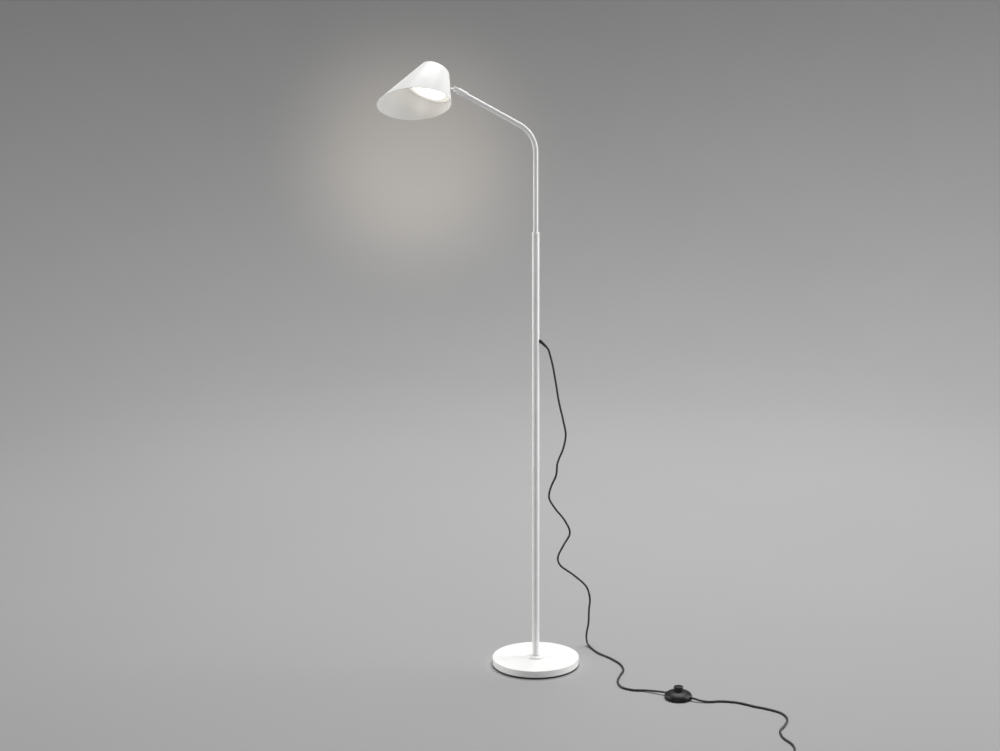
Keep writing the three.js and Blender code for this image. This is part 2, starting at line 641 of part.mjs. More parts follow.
function makeLightEngine() {
  const plateRadius = innerRadius(PLATE_STATION) - TOUCH - 0.3;
  const plateTop = PLATE_STATION + PLATE_THICKNESS;
  const plate = rod(plateRadius, PLATE_STATION, plateTop, SHELL_ROUND);
  // The tab follows the back wall down to the stem, and the stem's nut clamps it.
  const tab = new THREE.BoxGeometry(TAB_THICKNESS, TAB_WIDTH, TAB_LENGTH);
  const tabMiddle = STEM_SLANT + TAB_PAST_STEM - TAB_LENGTH / 2;
  tab.translate(TAB_THICKNESS / 2 + SHADE_WALL + WALL_GAP, 0, tabMiddle);
  tab.rotateY(rad(-SHADE_HALF_ANGLE));
  const neckHole = alongX(rod(NECK_HOLE_RADIUS, -NECK_END - 10, 0)).applyMatrix4(intoCone);
  const leadHole = rod(LEAD_HOLE_RADIUS, 0, THROUGH).translate(LEAD_HOLE_X, 0, 0);
  const screwBore = BOARD_SCREW_RADIUS + RUNNING;
  const screwHoles = around(rod(screwBore, 0, THROUGH), SCREW_CIRCLE, SCREW_COUNT);
  const bracket = cut(join(plate, tab), neckHole, leadHole, ...screwHoles);
  piece(coneFrame, 'head_bracket', bracket, ALUMINIUM);

  const board = rod(BOARD_RADIUS, plateTop + CLOSE, BOARD_FACE, ROUND);
  piece(coneFrame, 'led_board', cut(board, ...screwHoles), BOARD);
  const emitter = rod(EMITTER_RADIUS, BOARD_FACE, BOARD_FACE + 1, 24);
  piece(coneFrame, 'led_emitter', emitter, LED_PHOSPHOR);
  const head = rod(BOARD_SCREW_HEAD, BOARD_FACE, BOARD_FACE + 1.8);
  const shank = rod(BOARD_SCREW_RADIUS, PLATE_STATION - 3, BOARD_FACE + 0.5);
  numbered(coneFrame, 'board_screw', around(join(head, shank), SCREW_CIRCLE, SCREW_COUNT), STEEL);

  const driverTop = PLATE_STATION - DRIVER_GAP;
  const driver = new THREE.BoxGeometry(DRIVER_SIZE.x, DRIVER_SIZE.y, DRIVER_SIZE.z);
  driver.translate(0, 0, driverTop - DRIVER_SIZE.z / 2);
  const foot = rod(5, driverTop - 1, PLATE_STATION - TOUCH);
  piece(coneFrame, 'led_driver', join(driver, foot), WHITE_PLASTIC);

  const neckTip = new THREE.Vector3(-NECK_END - TOUCH, 0, 0).applyMatrix4(intoCone);
  const leadStart = new THREE.Vector3(-NECK_END - 3, 0, 1.5).applyMatrix4(intoCone);
  const lead = new THREE.CatmullRomCurve3([
    neckTip,
    leadStart,
    new THREE.Vector3(LEAD_HOLE_X, 0, PLATE_STATION + 7),
    new THREE.Vector3(LEAD_HOLE_X, 0, PLATE_STATION - 3),
    new THREE.Vector3((LEAD_HOLE_X + DRIVER_SIDE) / 2 - 2, 0, driverTop - 12),
    new THREE.Vector3(DRIVER_SIDE - TOUCH, 0, driverTop - 13),
  ], false, 'centripetal');
  const leadBody = swept(lead.getSpacedPoints(18), LEAD_RADIUS, 0, CORD_SIDES);
  piece(coneFrame, 'head_lead', leadBody, WHITE_PLASTIC);

  const reflectorFoot = BOARD_RADIUS + 1;
  const reflectorBack = plateTop + TOUCH;
  const seat = LENS_STATION - TOUCH;
  const step = reflectorBack + REFLECTOR_STEP;
  const flare = reflectorFoot + 4;
  const seatRadius = LENS_RADIUS + REFLECTOR_WALL;
  const reflectorOutline = [
    [reflectorFoot, reflectorBack],
    [reflectorFoot + REFLECTOR_WALL, reflectorBack],
    [flare + REFLECTOR_WALL, step],
    [LENS_RADIUS - 1, seat - 2],
    [seatRadius, seat - 2],
    [seatRadius, seat],
    [LENS_RADIUS - 3, seat],
    [flare, step],
    [reflectorFoot, reflectorBack],
  ];
  piece(coneFrame, 'reflector', turned(reflectorOutline, SHELL_ROUND), WHITE_PLASTIC);

  const lensFace = LENS_STATION + LENS_THICKNESS;
  const lensCurve = (LENS_RADIUS ** 2 + LENS_CROWN ** 2) / (2 * LENS_CROWN);
  const lensSweep = THREE.MathUtils.radToDeg(Math.asin(LENS_RADIUS / lensCurve));
  const dome = arc(0, lensFace + LENS_CROWN - lensCurve, lensCurve, 90 - lensSweep, 90, 4);
  const lensTip = [0, lensFace + LENS_CROWN];
  const lensBack = [[0, LENS_STATION], [LENS_RADIUS, LENS_STATION]];
  const lensOutline = [...lensBack, ...dome.slice(0, -1), lensTip];
  piece(coneFrame, 'diffuser', turned(lensOutline, SHELL_ROUND), OPAL);

  const bezelInner = seatRadius + TOUCH;
  const lipFoot = lensFace + TOUCH;
  const lipRadius = LENS_RADIUS - 1.5;
  const bezelOutline = [
    [bezelInner, seat - BEZEL_SKIRT],
    [bezelInner + BEZEL_WALL, seat - BEZEL_SKIRT],
    [bezelInner + BEZEL_WALL, lipFoot + BEZEL_WALL],
    [lipRadius, lipFoot + BEZEL_WALL],
    [lipRadius, lipFoot + 0.2],
    [LENS_RADIUS + 0.5, lipFoot],
    [bezelInner, lipFoot],
    [bezelInner, seat - BEZEL_SKIRT],
  ];
  piece(coneFrame, 'bezel_ring', turned(bezelOutline, SHELL_ROUND), WHITE_PLASTIC);
}

// ---- foot switch -------------------------------------------------------------------

const switchFrame = new THREE.Group();
switchFrame.position.set(SWITCH_CENTRE.x, SWITCH_CENTRE.y, 0);
switchFrame.rotation.z = rad(SWITCH_TURN);
lamp.add(switchFrame);

const COLLAR_PROUD = 2;
const COLLAR_RADIUS = CORD_RADIUS + 1.2;
const BUTTON_FLANGE = BUTTON_RADIUS + 3;
const BUTTON_EDGE_RADIUS = 2.5;
const BUTTON_DISH = 3; // depth of the spring's pocket below the button's top
const SPRING_WIRE = 1;
const SPRING_RADIUS = 3.4;
const SWITCH_SCREW_RADIUS = 1.4;
const SWITCH_SCREW_HEAD = 2.8;
const SWITCH_CORD_END = SWITCH_RADIUS + COLLAR_PROUD + TOUCH;

function makeSwitch() {
  const radius = SWITCH_RADIUS;
  const seam = SWITCH_BASE_HEIGHT;
  const buttonHole = BUTTON_RADIUS + 0.5;
  const cordWay = alongX(rod(boreFor(COLLAR_RADIUS) + RUNNING, radius - 8, radius + 5));
  const cordWays = around(cordWay.translate(0, 0, SWITCH_CORD_HEIGHT), 0, 2);
  const screwHole = rod(boreFor(SWITCH_SCREW_RADIUS) + RUNNING, -THROUGH, THROUGH);
  const screwHoles = around(screwHole, SWITCH_SCREW_CIRCLE, 2, 90);
  const chamfer = 1.5;
  const tray = turned([
    [0, FOOT_PAD_HEIGHT],
    [radius - chamfer, FOOT_PAD_HEIGHT],
    [radius, FOOT_PAD_HEIGHT + chamfer],
    [radius, seam],
    [radius - SWITCH_WALL, seam],
    [radius - SWITCH_WALL, FOOT_PAD_HEIGHT + SWITCH_WALL],
    [0, FOOT_PAD_HEIGHT + SWITCH_WALL],
  ]);
  piece(switchFrame, 'switch_base', cut(tray, ...screwHoles, ...cordWays), BLACK_PLASTIC);

  // The cover is a low dome: its section is part of an ellipse over the tray's edge.
  const dome = (offset, to, steps) => {
    const points = [];
    const width = radius - offset;
    const height = SWITCH_TOP - seam - offset;
    const last = Math.acos(to / width);
    for (let i = 0; i <= steps; i += 1) {
      const angle = (last * i) / steps;
      points.push([width * Math.cos(angle), seam + TOUCH + height * Math.sin(angle)]);
    }
    return points;
  };
  const cover = turned([
    ...dome(0, buttonHole, 7),
    ...dome(SWITCH_WALL, buttonHole, 6).reverse(),
    [radius, seam + TOUCH],
  ]);
  piece(switchFrame, 'switch_cover', cut(cover, ...cordWays), BLACK_PLASTIC);

  const coverTop = SWITCH_TOP - 1;
  const buttonTop = SWITCH_TOP + BUTTON_PROUD;
  const flangeTop = coverTop - SWITCH_WALL - 1;
  const buttonFoot = flangeTop - 2;
  const pocket = SPRING_RADIUS + 0.6;
  const pocketTop = buttonTop - BUTTON_DISH;
  const edge = BUTTON_EDGE_RADIUS;
  const button = turned([
    [0, pocketTop],
    [pocket, pocketTop],
    [pocket, buttonFoot],
    [BUTTON_FLANGE, buttonFoot],
    [BUTTON_FLANGE, flangeTop],
    [BUTTON_RADIUS, flangeTop],
    ...arc(BUTTON_RADIUS - edge, buttonTop - edge, edge, 0, 90, 3),
    [0, buttonTop + 0.6],
  ]);
  piece(switchFrame, 'switch_button', button, BLACK_PLASTIC);

  const floor = FOOT_PAD_HEIGHT + SWITCH_WALL;
  const blockTop = buttonFoot - BUTTON_TRAVEL - 1;
  const block = new THREE.BoxGeometry(30, 20, blockTop - floor);
  block.translate(0, 0, (blockTop + floor) / 2);
  piece(switchFrame, 'switch_contacts', block, NYLON);
  const spring = ring(SPRING_RADIUS - SPRING_WIRE, SPRING_RADIUS, blockTop, pocketTop - TOUCH);
  piece(switchFrame, 'button_spring', spring, STEEL);

  const head = rod(SWITCH_SCREW_HEAD, FOOT_PAD_HEIGHT - 0.9, FOOT_PAD_HEIGHT);
  const shank = rod(SWITCH_SCREW_RADIUS, FOOT_PAD_HEIGHT - 0.5, seam + 2);
  const screws = around(join(head, shank), SWITCH_SCREW_CIRCLE, 2, 90);
  numbered(switchFrame, 'switch_screw', screws, STEEL);
  const foot = ring(radius - 8, radius - 2.5, 0, FOOT_PAD_HEIGHT, ROUND);
  piece(switchFrame, 'switch_foot', foot, BLACK_RUBBER);
  const collar = alongX(ring(CORD_RADIUS - 1, COLLAR_RADIUS, radius - 4, radius + COLLAR_PROUD));
  const collars = around(collar.translate(0, 0, SWITCH_CORD_HEIGHT), 0, 2);
  numbered(switchFrame, 'switch_collar', collars, BLACK_RUBBER);
}

// ---- cord --------------------------------------------------------------------------

const reliefTip = (past) => [
  RELIEF_ELBOW + (RELIEF_LENGTH + past) * Math.cos(rad(RELIEF_DROP)),
  0,
  CORD_EXIT_HEIGHT - (RELIEF_LENGTH + past) * Math.sin(rad(RELIEF_DROP)),
];

// A point on the cord's line through the switch, at a distance from its centre.
function atSwitch(distance, height) {
  const angle = rad(SWITCH_TURN);
  const x = SWITCH_CENTRE.x + distance * Math.cos(angle);
  return [x, SWITCH_CENTRE.y + distance * Math.sin(angle), height];
}

const LAID = CORD_RADIUS + 0.1; // height of the axis of a cord that lies on the floor

const UPPER_ROUTE = [
  reliefTip(TOUCH),
  [30.5, 0.1, 857.4],
  [33, 0.4, 853.1],
  [34.7, 1, 848.5],
  [38.6, 2.4, 834],
  [44, 4.5, 812],
  [52, 10, 766],
  [60, 18, 715],
  [72, 30, 660],
  [79, 40, 618],
  [72, 48, 578],
  [58, 55, 540],
  [54, 62, 503],
  [40, 70, 468],
  [36, 78, 437],
  [52, 86, 406],
  [78, 92, 371],
  [92, 97, 335],
  [76, 104, 300],
  [60, 112, 262],
  [66, 121, 238],
  [104, 130, 206],
  [138, 136, 172],
  [148, 141, 138],
  [146, 147, 100],
  [145, 151, 62],
  [140, 152, 32],
  [139.7, 149, 17.5],
  [142, 140.6, 8],
  [148, 127, LAID + 1.1],
  [169, 78, LAID + 0.1],
  [201, 36, LAID],
  [226, -12, LAID],
  [232, -54, LAID],
  [221, -96, LAID],
  [213, -142, LAID],
  [222, -180, LAID],
  [248, -199, LAID + 0.2],
  [280, -204, LAID + 0.8],
  [303, -214, LAID + 2.6],
  atSwitch(-SWITCH_CORD_END - 8, SWITCH_CORD_HEIGHT),
  atSwitch(-SWITCH_CORD_END, SWITCH_CORD_HEIGHT),
];

const COIL_FOOT = TIE_THICKNESS + 0.1;
const COIL_HALF = COIL_LAYERS * CORD_RADIUS;
const COIL_OUTER_TURN = COIL_RADIUS + COIL_HALF - CORD_RADIUS;
const COIL_EDGE = COIL_RADIUS + COIL_HALF;
const BESIDE_COIL = COIL_EDGE + CORD_RADIUS + 2 * TOUCH;
const COIL_APPROACH = Math.sqrt(BESIDE_COIL ** 2 - COIL_OUTER_TURN ** 2);

const LOWER_ROUTE = [
  atSwitch(SWITCH_CORD_END, SWITCH_CORD_HEIGHT),
  atSwitch(SWITCH_CORD_END + 8, SWITCH_CORD_HEIGHT),
  [414, -278.4, LAID + 2.2],
  [436, -281.5, LAID + 0.2],
  [468, -278, LAID],
  [508, -287, LAID],
  [545, -311, LAID],
  [582, -333, LAID],
  [610, -359, LAID],
  [618.5, -396, LAID],
  [607, -436, LAID],
  [591, -472, LAID],
  [592, -512, LAID],
  [609, -556, LAID],
  [610, -588, LAID],
  [602.5, -612, LAID],
  [589.2, -626.7, LAID + 0.1],
  [575, -640, LAID + 0.4],
  [COIL_CENTRE.x - COIL_OUTER_TURN, COIL_CENTRE.y + COIL_APPROACH, LAID + 1],
];

const UPPER_STEPS = 58;
const LOWER_STEPS = 20;
const TAIL_STEPS = 4;
const PLUG_START = 62; // from the coil's middle to the plug's sleeve, along +X
const PLUG_SLEEVE_LENGTH = 22;
const PLUG_LENGTH = 36;
const PLUG_WIDTH = 26;
const PLUG_HEIGHT = 14;
const PIN_LENGTH = 19;
const PIN_SPACING = 19;
const PIN_WIDTH = 4;

const TAIL_ROUTE = [
  [COIL_CENTRE.x, COIL_CENTRE.y - BESIDE_COIL, LAID],
  [COIL_CENTRE.x + 20, COIL_CENTRE.y - BESIDE_COIL, LAID + 0.2],
  [COIL_CENTRE.x + 42, COIL_CENTRE.y - BESIDE_COIL, LAID + 2],
  [COIL_CENTRE.x + PLUG_START - TOUCH, COIL_CENTRE.y - BESIDE_COIL, PLUG_HEIGHT / 2],
];

function makeCord() {
  piece(lamp, 'cord_upper', cord(UPPER_ROUTE, UPPER_STEPS), BLACK_RUBBER);
  piece(lamp, 'cord_lower', cord(LOWER_ROUTE, LOWER_STEPS), BLACK_RUBBER);
  piece(lamp, 'cord_tail', cord(TAIL_ROUTE, TAIL_STEPS), BLACK_RUBBER);

  const coilFrame = new THREE.Group();
  coilFrame.position.set(COIL_CENTRE.x, COIL_CENTRE.y, 0);
  lamp.add(coilFrame);
  const coilTop = COIL_FOOT + 2 * COIL_HALF;
  const inner = COIL_RADIUS - COIL_HALF;
  piece(coilFrame, 'cord_coil', ring(inner, COIL_EDGE, COIL_FOOT, coilTop, ROUND), BLACK_RUBBER);
  const room = 2 * COIL_HALF + 4 * TOUCH;
  const tieHeight = coilTop + TOUCH + TIE_THICKNESS;
  const band = new THREE.BoxGeometry(TIE_WIDTH, room + 2 * TIE_THICKNESS, tieHeight);
  band.translate(0, COIL_RADIUS, tieHeight / 2);
  const windowFoot = TIE_THICKNESS;
  const windowTop = coilTop + TOUCH;
  const window = new THREE.BoxGeometry(2 * TIE_WIDTH, room, windowTop - windowFoot);
  window.translate(0, COIL_RADIUS, (windowTop + windowFoot) / 2);
  piece(coilFrame, 'coil_tie', cut(band, window), BLACK_RUBBER);
}

function makePlug() {
  const frame = new THREE.Group();
  frame.position.set(COIL_CENTRE.x + PLUG_START, COIL_CENTRE.y - BESIDE_COIL, PLUG_HEIGHT / 2);
  lamp.add(frame);
  const sleeve = turned([
    [0, 0],
    [CORD_RADIUS + 0.8, 0],
    [CORD_RADIUS + 2.8, PLUG_SLEEVE_LENGTH],
    [0, PLUG_SLEEVE_LENGTH],
  ], SMALL_ROUND);
  piece(frame, 'plug_sleeve', alongX(sleeve), BLACK_RUBBER);

  // Flat two-pin body: narrower at the cord end, wide and straight at the pin face.
  const outline = new THREE.Shape();
  const half = PLUG_WIDTH / 2;
  outline.moveTo(0, -half * 0.5);
  outline.lineTo(PLUG_LENGTH * 0.5, -half);
  outline.lineTo(PLUG_LENGTH, -half);
  outline.lineTo(PLUG_LENGTH, half);
  outline.lineTo(PLUG_LENGTH * 0.5, half);
  outline.lineTo(0, half * 0.5);
  outline.closePath();
  const body = new THREE.ExtrudeGeometry(outline, { depth: PLUG_HEIGHT - 0.2, bevelEnabled: false });
  body.translate(PLUG_SLEEVE_LENGTH + TOUCH, 0, -PLUG_HEIGHT / 2 + 0.1);
  piece(frame, 'plug_body', body, BLACK_PLASTIC);
  const face = PLUG_SLEEVE_LENGTH + TOUCH + PLUG_LENGTH + TOUCH;
  const pin = (y) => alongX(rod(PIN_WIDTH / 2, face, face + PIN_LENGTH)).translate(0, y, 0);
  numbered(frame, 'plug_pin', [pin(PIN_SPACING / 2), pin(-PIN_SPACING / 2)], BRASS);
}

makeBase();
makeMast();
makeCordEntry();
makeArm();
makeShade();
makeKnuckle();
makeLightEngine();
makeSwitch();
makeCord();
makePlug();

export default lamp;
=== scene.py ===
# %% [markdown]
# # A floor lamp with an adjustable arm
#
# The real lamp is a weighted disc, a slim white mast in two stages, a short arm that rises to a
# conical shade with a flat LED light inside, and a black cord with a foot switch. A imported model
# of it already says where every part is and how it moves. Here each visible part gets its fine
# shape and its finish around that model, which is loaded first and never changed.

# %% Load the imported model
import json
from math import acos, asin, atan2, cos, degrees, hypot, pi, radians, sin, sqrt, tan, tau

import bmesh
import bpy
from mathutils import Matrix, Vector

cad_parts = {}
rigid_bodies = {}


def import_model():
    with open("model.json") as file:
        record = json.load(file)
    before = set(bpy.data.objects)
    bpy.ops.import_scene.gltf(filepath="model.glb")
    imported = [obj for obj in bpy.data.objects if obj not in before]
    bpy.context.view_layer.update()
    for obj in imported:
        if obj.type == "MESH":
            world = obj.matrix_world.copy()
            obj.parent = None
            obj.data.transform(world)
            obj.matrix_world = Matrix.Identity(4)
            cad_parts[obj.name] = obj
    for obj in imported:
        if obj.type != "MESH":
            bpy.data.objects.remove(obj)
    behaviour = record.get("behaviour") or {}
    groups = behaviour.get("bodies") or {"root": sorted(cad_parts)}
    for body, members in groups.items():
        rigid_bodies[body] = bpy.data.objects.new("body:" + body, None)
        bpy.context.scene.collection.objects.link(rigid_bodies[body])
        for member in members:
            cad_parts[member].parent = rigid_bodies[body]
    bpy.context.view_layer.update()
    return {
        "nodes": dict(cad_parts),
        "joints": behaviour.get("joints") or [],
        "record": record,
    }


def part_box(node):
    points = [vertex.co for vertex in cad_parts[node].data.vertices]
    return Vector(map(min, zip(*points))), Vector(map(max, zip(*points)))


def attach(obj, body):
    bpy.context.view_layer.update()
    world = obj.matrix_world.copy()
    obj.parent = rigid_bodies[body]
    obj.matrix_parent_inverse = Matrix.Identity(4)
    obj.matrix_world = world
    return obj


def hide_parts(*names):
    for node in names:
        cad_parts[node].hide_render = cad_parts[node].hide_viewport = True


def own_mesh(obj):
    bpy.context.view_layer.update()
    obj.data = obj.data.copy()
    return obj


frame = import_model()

# %% [markdown]
# ## Places and sizes
#
# Lamp makers think in millimetres and Blender works in metres, so sizes are written as a number
# times MM. Places are read from the model wherever it holds them: the knuckle's pin is where the
# tilt joint turns, and the heights come from the boxes of the parts.

# %% Read the lamp's places from the model
MM = 0.001
joint_of = {joint["name"]: joint for joint in frame["joints"]}
KNUCKLE_PIN = Vector(joint_of["head_tilt"]["pos_m"])
MAST_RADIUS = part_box("mast_tube")[1].y
MAST_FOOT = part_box("mast_tube")[0].z
MAST_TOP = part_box("mast_tube")[1].z
ARM_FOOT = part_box("arm_tube")[0].z
SWITCH_CENTRE = (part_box("switch_foot")[0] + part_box("switch_foot")[1]) / 2
CORD_RADIUS = 2.7 * MM
CORD_EXIT_HEIGHT = 876 * MM
print("pin at", tuple(round(v, 4) for v in KNUCKLE_PIN), "mast top at", round(MAST_TOP, 4))

# %% [markdown]
# ## The camera
#
# A product picture of something this tall is taken from some distance with a long lens, which
# keeps the mast straight and slim. The camera stands a little higher than the shade and looks
# down by eleven degrees. A small sideways shift of the lens sets the mast right of the middle
# without turning the camera.

# %% Place the camera
LENS_LENGTH = 65.0
SENSOR_WIDTH = 36.0
LENS_SHIFT = -0.0357
CAMERA_DISTANCE = 4.589
CAMERA_HEIGHT = 1.686
CAMERA_TILT = radians(11.1)
camera_data = bpy.data.cameras.new("studio_camera")
camera_data.lens = LENS_LENGTH
camera_data.sensor_width = SENSOR_WIDTH
camera_data.shift_x = LENS_SHIFT
camera_data.clip_end = 100
camera = bpy.data.objects.new("studio_camera", camera_data)
camera.location = (0, -CAMERA_DISTANCE, CAMERA_HEIGHT)
camera.rotation_euler = (radians(90) - CAMERA_TILT, 0, 0)
bpy.context.scene.collection.objects.link(camera)
bpy.context.scene.camera = camera
print("the view is", round(SENSOR_WIDTH / LENS_LENGTH * CAMERA_DISTANCE, 2), "m wide at the mast")

# %% [markdown]
# ## The mains cord
#
# A cord is a fixed length of something bendy, so it is drawn as a curve with a round bevel, and
# not as a mesh. Its route is a short list of given points. A centripetal Catmull-Rom curve
# rounds them: it passes through every point and never overshoots into a loop, which a curve
# with free handles easily does.

# %% A smooth route through chosen points
def smooth_route(points, steps=8):
    points = [Vector(point) for point in points]
    ends = [2 * points[0] - points[1], 2 * points[-1] - points[-2]]
    route = [ends[0], *points, ends[1]]
    smooth = []
    for before, start, end, after in zip(route, route[1:], route[2:], route[3:]):
        first = sqrt((start - before).length)
        second = first + sqrt((end - start).length)
        third = second + sqrt((after - end).length)
        for step in range(steps):
            t = first + (second - first) * step / steps
            a = before.lerp(start, t / first)
            b = start.lerp(end, (t - first) / (second - first))
            c = end.lerp(after, (t - second) / (third - second))
            ab = a.lerp(b, t / second)
            bc = b.lerp(c, (t - first) / (third - first))
            smooth.append(ab.lerp(bc, (t - first) / (second - first)))
    return smooth + [points[-1]]


def route_length(points):
    return sum((end - start).length for start, end in zip(points, points[1:]))


def round_curve(name, points, radius, sides=6):
    curve = bpy.data.curves.new(name, "CURVE")
    curve.dimensions = "3D"
    curve.bevel_depth = radius
    curve.bevel_resolution = sides
    curve.use_fill_caps = True
    spline = curve.splines.new("POLY")
    spline.points.add(len(points) - 1)
    for knot, point in zip(spline.points, points):
        knot.co = (*point, 1)
    spline.use_smooth = True
    piece = bpy.data.objects.new(name, curve)
    bpy.context.scene.collection.objects.link(piece)
    return piece


# %% [markdown]
# The first stretch leaves the gland downwards, hangs in loose waves beside the mast, reaches the
# floor behind the base and swings round to the foot switch. The gland drops at 44 degrees, so
# the cord starts in that direction for a few diameters.

# %% The cord from the mast to the switch
LAID = CORD_RADIUS / MM + 0.1
RELIEF_DROP = radians(44)
RELIEF_ELBOW = 12
RELIEF_LENGTH = 21
SWITCH_TURN = radians(-31)
SWITCH_CORD_HEIGHT = 7.5
SWITCH_CORD_END = 37.3


def past_relief(distance):
    reach = RELIEF_LENGTH + distance
    height = CORD_EXIT_HEIGHT / MM - reach * sin(RELIEF_DROP)
    return (RELIEF_ELBOW + reach * cos(RELIEF_DROP), 0, height)


def at_switch(distance):
    x = SWITCH_CENTRE.x / MM + distance * cos(SWITCH_TURN)
    y = SWITCH_CENTRE.y / MM + distance * sin(SWITCH_TURN)
    return (x, y, SWITCH_CORD_HEIGHT)


HANGING_POINTS = [
    past_relief(0.3), (30.5, 0.1, 857.4), (33, 0.4, 853.1), (34.7, 1, 848.5),
    (38.6, 2.4, 834), (44, 4.5, 812), (52, 10, 766), (60, 18, 715), (72, 30, 660),
    (79, 40, 618), (72, 48, 578), (58, 55, 540), (54, 62, 503), (40, 70, 468),
    (36, 78, 437), (52, 86, 406), (78, 92, 371), (92, 97, 335), (76, 104, 300),
    (60, 112, 262), (66, 121, 238), (104, 130, 206), (138, 136, 172), (148, 141, 138),
    (146, 147, 100), (145, 151, 62), (140, 152, 32), (139.7, 149, 17.5), (142, 140.6, 8),
]
FLOOR_POINTS = [
    (148, 127, LAID + 1.1), (169, 78, LAID + 0.1), (201, 36, LAID), (226, -12, LAID),
    (232, -54, LAID), (221, -96, LAID), (213, -142, LAID), (222, -180, LAID),
    (248, -199, LAID + 0.2), (280, -204, LAID + 0.8), (303, -214, LAID + 2.6),
    at_switch(-SWITCH_CORD_END - 8), at_switch(-SWITCH_CORD_END),
]
upper_points = [MM * point for point in smooth_route(HANGING_POINTS + FLOOR_POINTS)]
cord_to_switch = round_curve("cord_to_switch", upper_points, CORD_RADIUS)
print("mast to switch:", round(route_length(upper_points), 3), "m of cord")

# %% [markdown]
# The second stretch runs from the switch to the plug. What a room would use up is put away in a
# small round coil held by a tie. The coil lies in two layers, each with an outer and an inner turn,
# and has about three and a quarter turns in all. Where the cord changes its radius it does so
# before it meets its own start, and where it climbs to the upper layer nothing lies above it, so
# no turn passes through another.

# %% The turns of the coil
COIL_CENTRE = Vector((600, -680, 0))
COIL_RADIUS = 30
OUTER_TURN = COIL_RADIUS + CORD_RADIUS / MM
INNER_TURN = COIL_RADIUS - CORD_RADIUS / MM
LOWER_LAYER = 1 + CORD_RADIUS / MM
UPPER_LAYER = LOWER_LAYER + 2 * CORD_RADIUS / MM
BESIDE_COIL = 38.7
COIL_PLAN = [  # degrees turned, radius, height
    (180, OUTER_TURN, LOWER_LAYER), (480, OUTER_TURN, LOWER_LAYER),
    (540, INNER_TURN, LOWER_LAYER), (780, INNER_TURN, LOWER_LAYER),
    (840, INNER_TURN, UPPER_LAYER), (1080, INNER_TURN, UPPER_LAYER),
    (1140, OUTER_TURN, UPPER_LAYER), (1262, OUTER_TURN, UPPER_LAYER),
]


def ease(share):
    return share * share * (3 - 2 * share)


def on_coil(turned_by, radius, height):
    angle = radians(turned_by)
    return COIL_CENTRE + Vector((radius * cos(angle), radius * sin(angle), height))


def coil_points(step=12):
    points = []
    for (start, r0, z0), (end, r1, z1) in zip(COIL_PLAN, COIL_PLAN[1:]):
        for turned_by in range(start, end, step):
            share = ease((turned_by - start) / (end - start))
            points.append(on_coil(turned_by, r0 + (r1 - r0) * share, z0 + (z1 - z0) * share))
    return points


# %% [markdown]
# Off the coil the cord rolls down over the outside of the lowest turn, round a quarter circle
# about that turn's own middle, until it lies flat beside the coil and points at the plug.

# %% The cord from the switch to the plug
ROLL_START = 1268
ROLL_TURN = 82
ROLL_DOWN = radians(100)


def leaving_coil(steps=7):
    points = []
    clear = 2 * CORD_RADIUS / MM + 0.7
    for step in range(steps):
        share = ease(step / steps)
        radius = OUTER_TURN + clear * sin(ROLL_DOWN * share)
        height = LOWER_LAYER + clear * cos(ROLL_DOWN * share)
        points.append(on_coil(ROLL_START + ROLL_TURN * step / steps, radius, height))
    return points


PLUG_START = 62
PLUG_MIDDLE_HEIGHT = 7
coil_side = COIL_CENTRE - Vector((0, BESIDE_COIL, 0))
LOWER_POINTS = [
    at_switch(SWITCH_CORD_END), at_switch(SWITCH_CORD_END + 8), (414, -278.4, LAID + 2.2),
    (436, -281.5, LAID + 0.2), (468, -278, LAID), (508, -287, LAID), (545, -311, LAID),
    (582, -333, LAID), (610, -359, LAID), (618.5, -396, LAID), (607, -436, LAID),
    (591, -472, LAID), (592, -512, LAID), (609, -556, LAID), (610, -588, LAID),
    (602.5, -612, LAID), (589.2, -626.7, LAID + 0.1), (575, -640, LAID + 0.4),
    (568, -657, LAID + 0.8), (567.3, -668, LAID + 0.9),
]
TAIL_POINTS = [
    coil_side + Vector((0, 0, LAID)),
    coil_side + Vector((20, 0, LAID + 0.2)),
    coil_side + Vector((42, 0, LAID + 2)),
    coil_side + Vector((PLUG_START - 0.3, 0, PLUG_MIDDLE_HEIGHT)),
]
lower_route = LOWER_POINTS + coil_points() + leaving_coil() + TAIL_POINTS
lower_points = [MM * point for point in smooth_route(lower_route, 5)]
cord_to_plug = round_curve("cord_to_plug", lower_points, CORD_RADIUS)
print("switch to plug:", round(route_length(lower_points), 3), "m of cord")

# %% [markdown]
# ## Finishes
#
# No real surface is one flat colour. Each finish starts from Blender's Principled shader and adds
# what the eye finds close up: the orange-peel skin of powder coat, the fine spark texture of
# moulded plastic, the brushed lines of plated steel. The patterns read Object coordinates, which
# are plain metres here, so their scale is a real size on every piece.

# %% Helpers for building a finish
def new_finish(name, colour, roughness, metallic=0.0):
    finish = bpy.data.materials.new(name)
    finish.use_nodes = True
    finish.diffuse_color = (*colour, 1)
    shader = finish.node_tree.nodes["Principled BSDF"]
    shader.inputs["Base Color"].default_value = (*colour, 1)
    shader.inputs["Roughness"].default_value = roughness
    shader.inputs["Metallic"].default_value = metallic
    return finish


def shader_of(finish):
    return finish.node_tree.nodes["Principled BSDF"]


def grain(finish, size, detail=3, stretch=(1, 1, 1)):
    nodes = finish.node_tree.nodes
    links = finish.node_tree.links
    place = nodes.new("ShaderNodeTexCoord")
    mapping = nodes.new("ShaderNodeMapping")
    mapping.inputs["Scale"].default_value = stretch
    noise = nodes.new("ShaderNodeTexNoise")
    noise.inputs["Scale"].default_value = 1 / size
    noise.inputs["Detail"].default_value = detail
    links.new(place.outputs["Object"], mapping.inputs["Vector"])
    links.new(mapping.outputs["Vector"], noise.inputs["Vector"])
    return noise.outputs["Fac"]


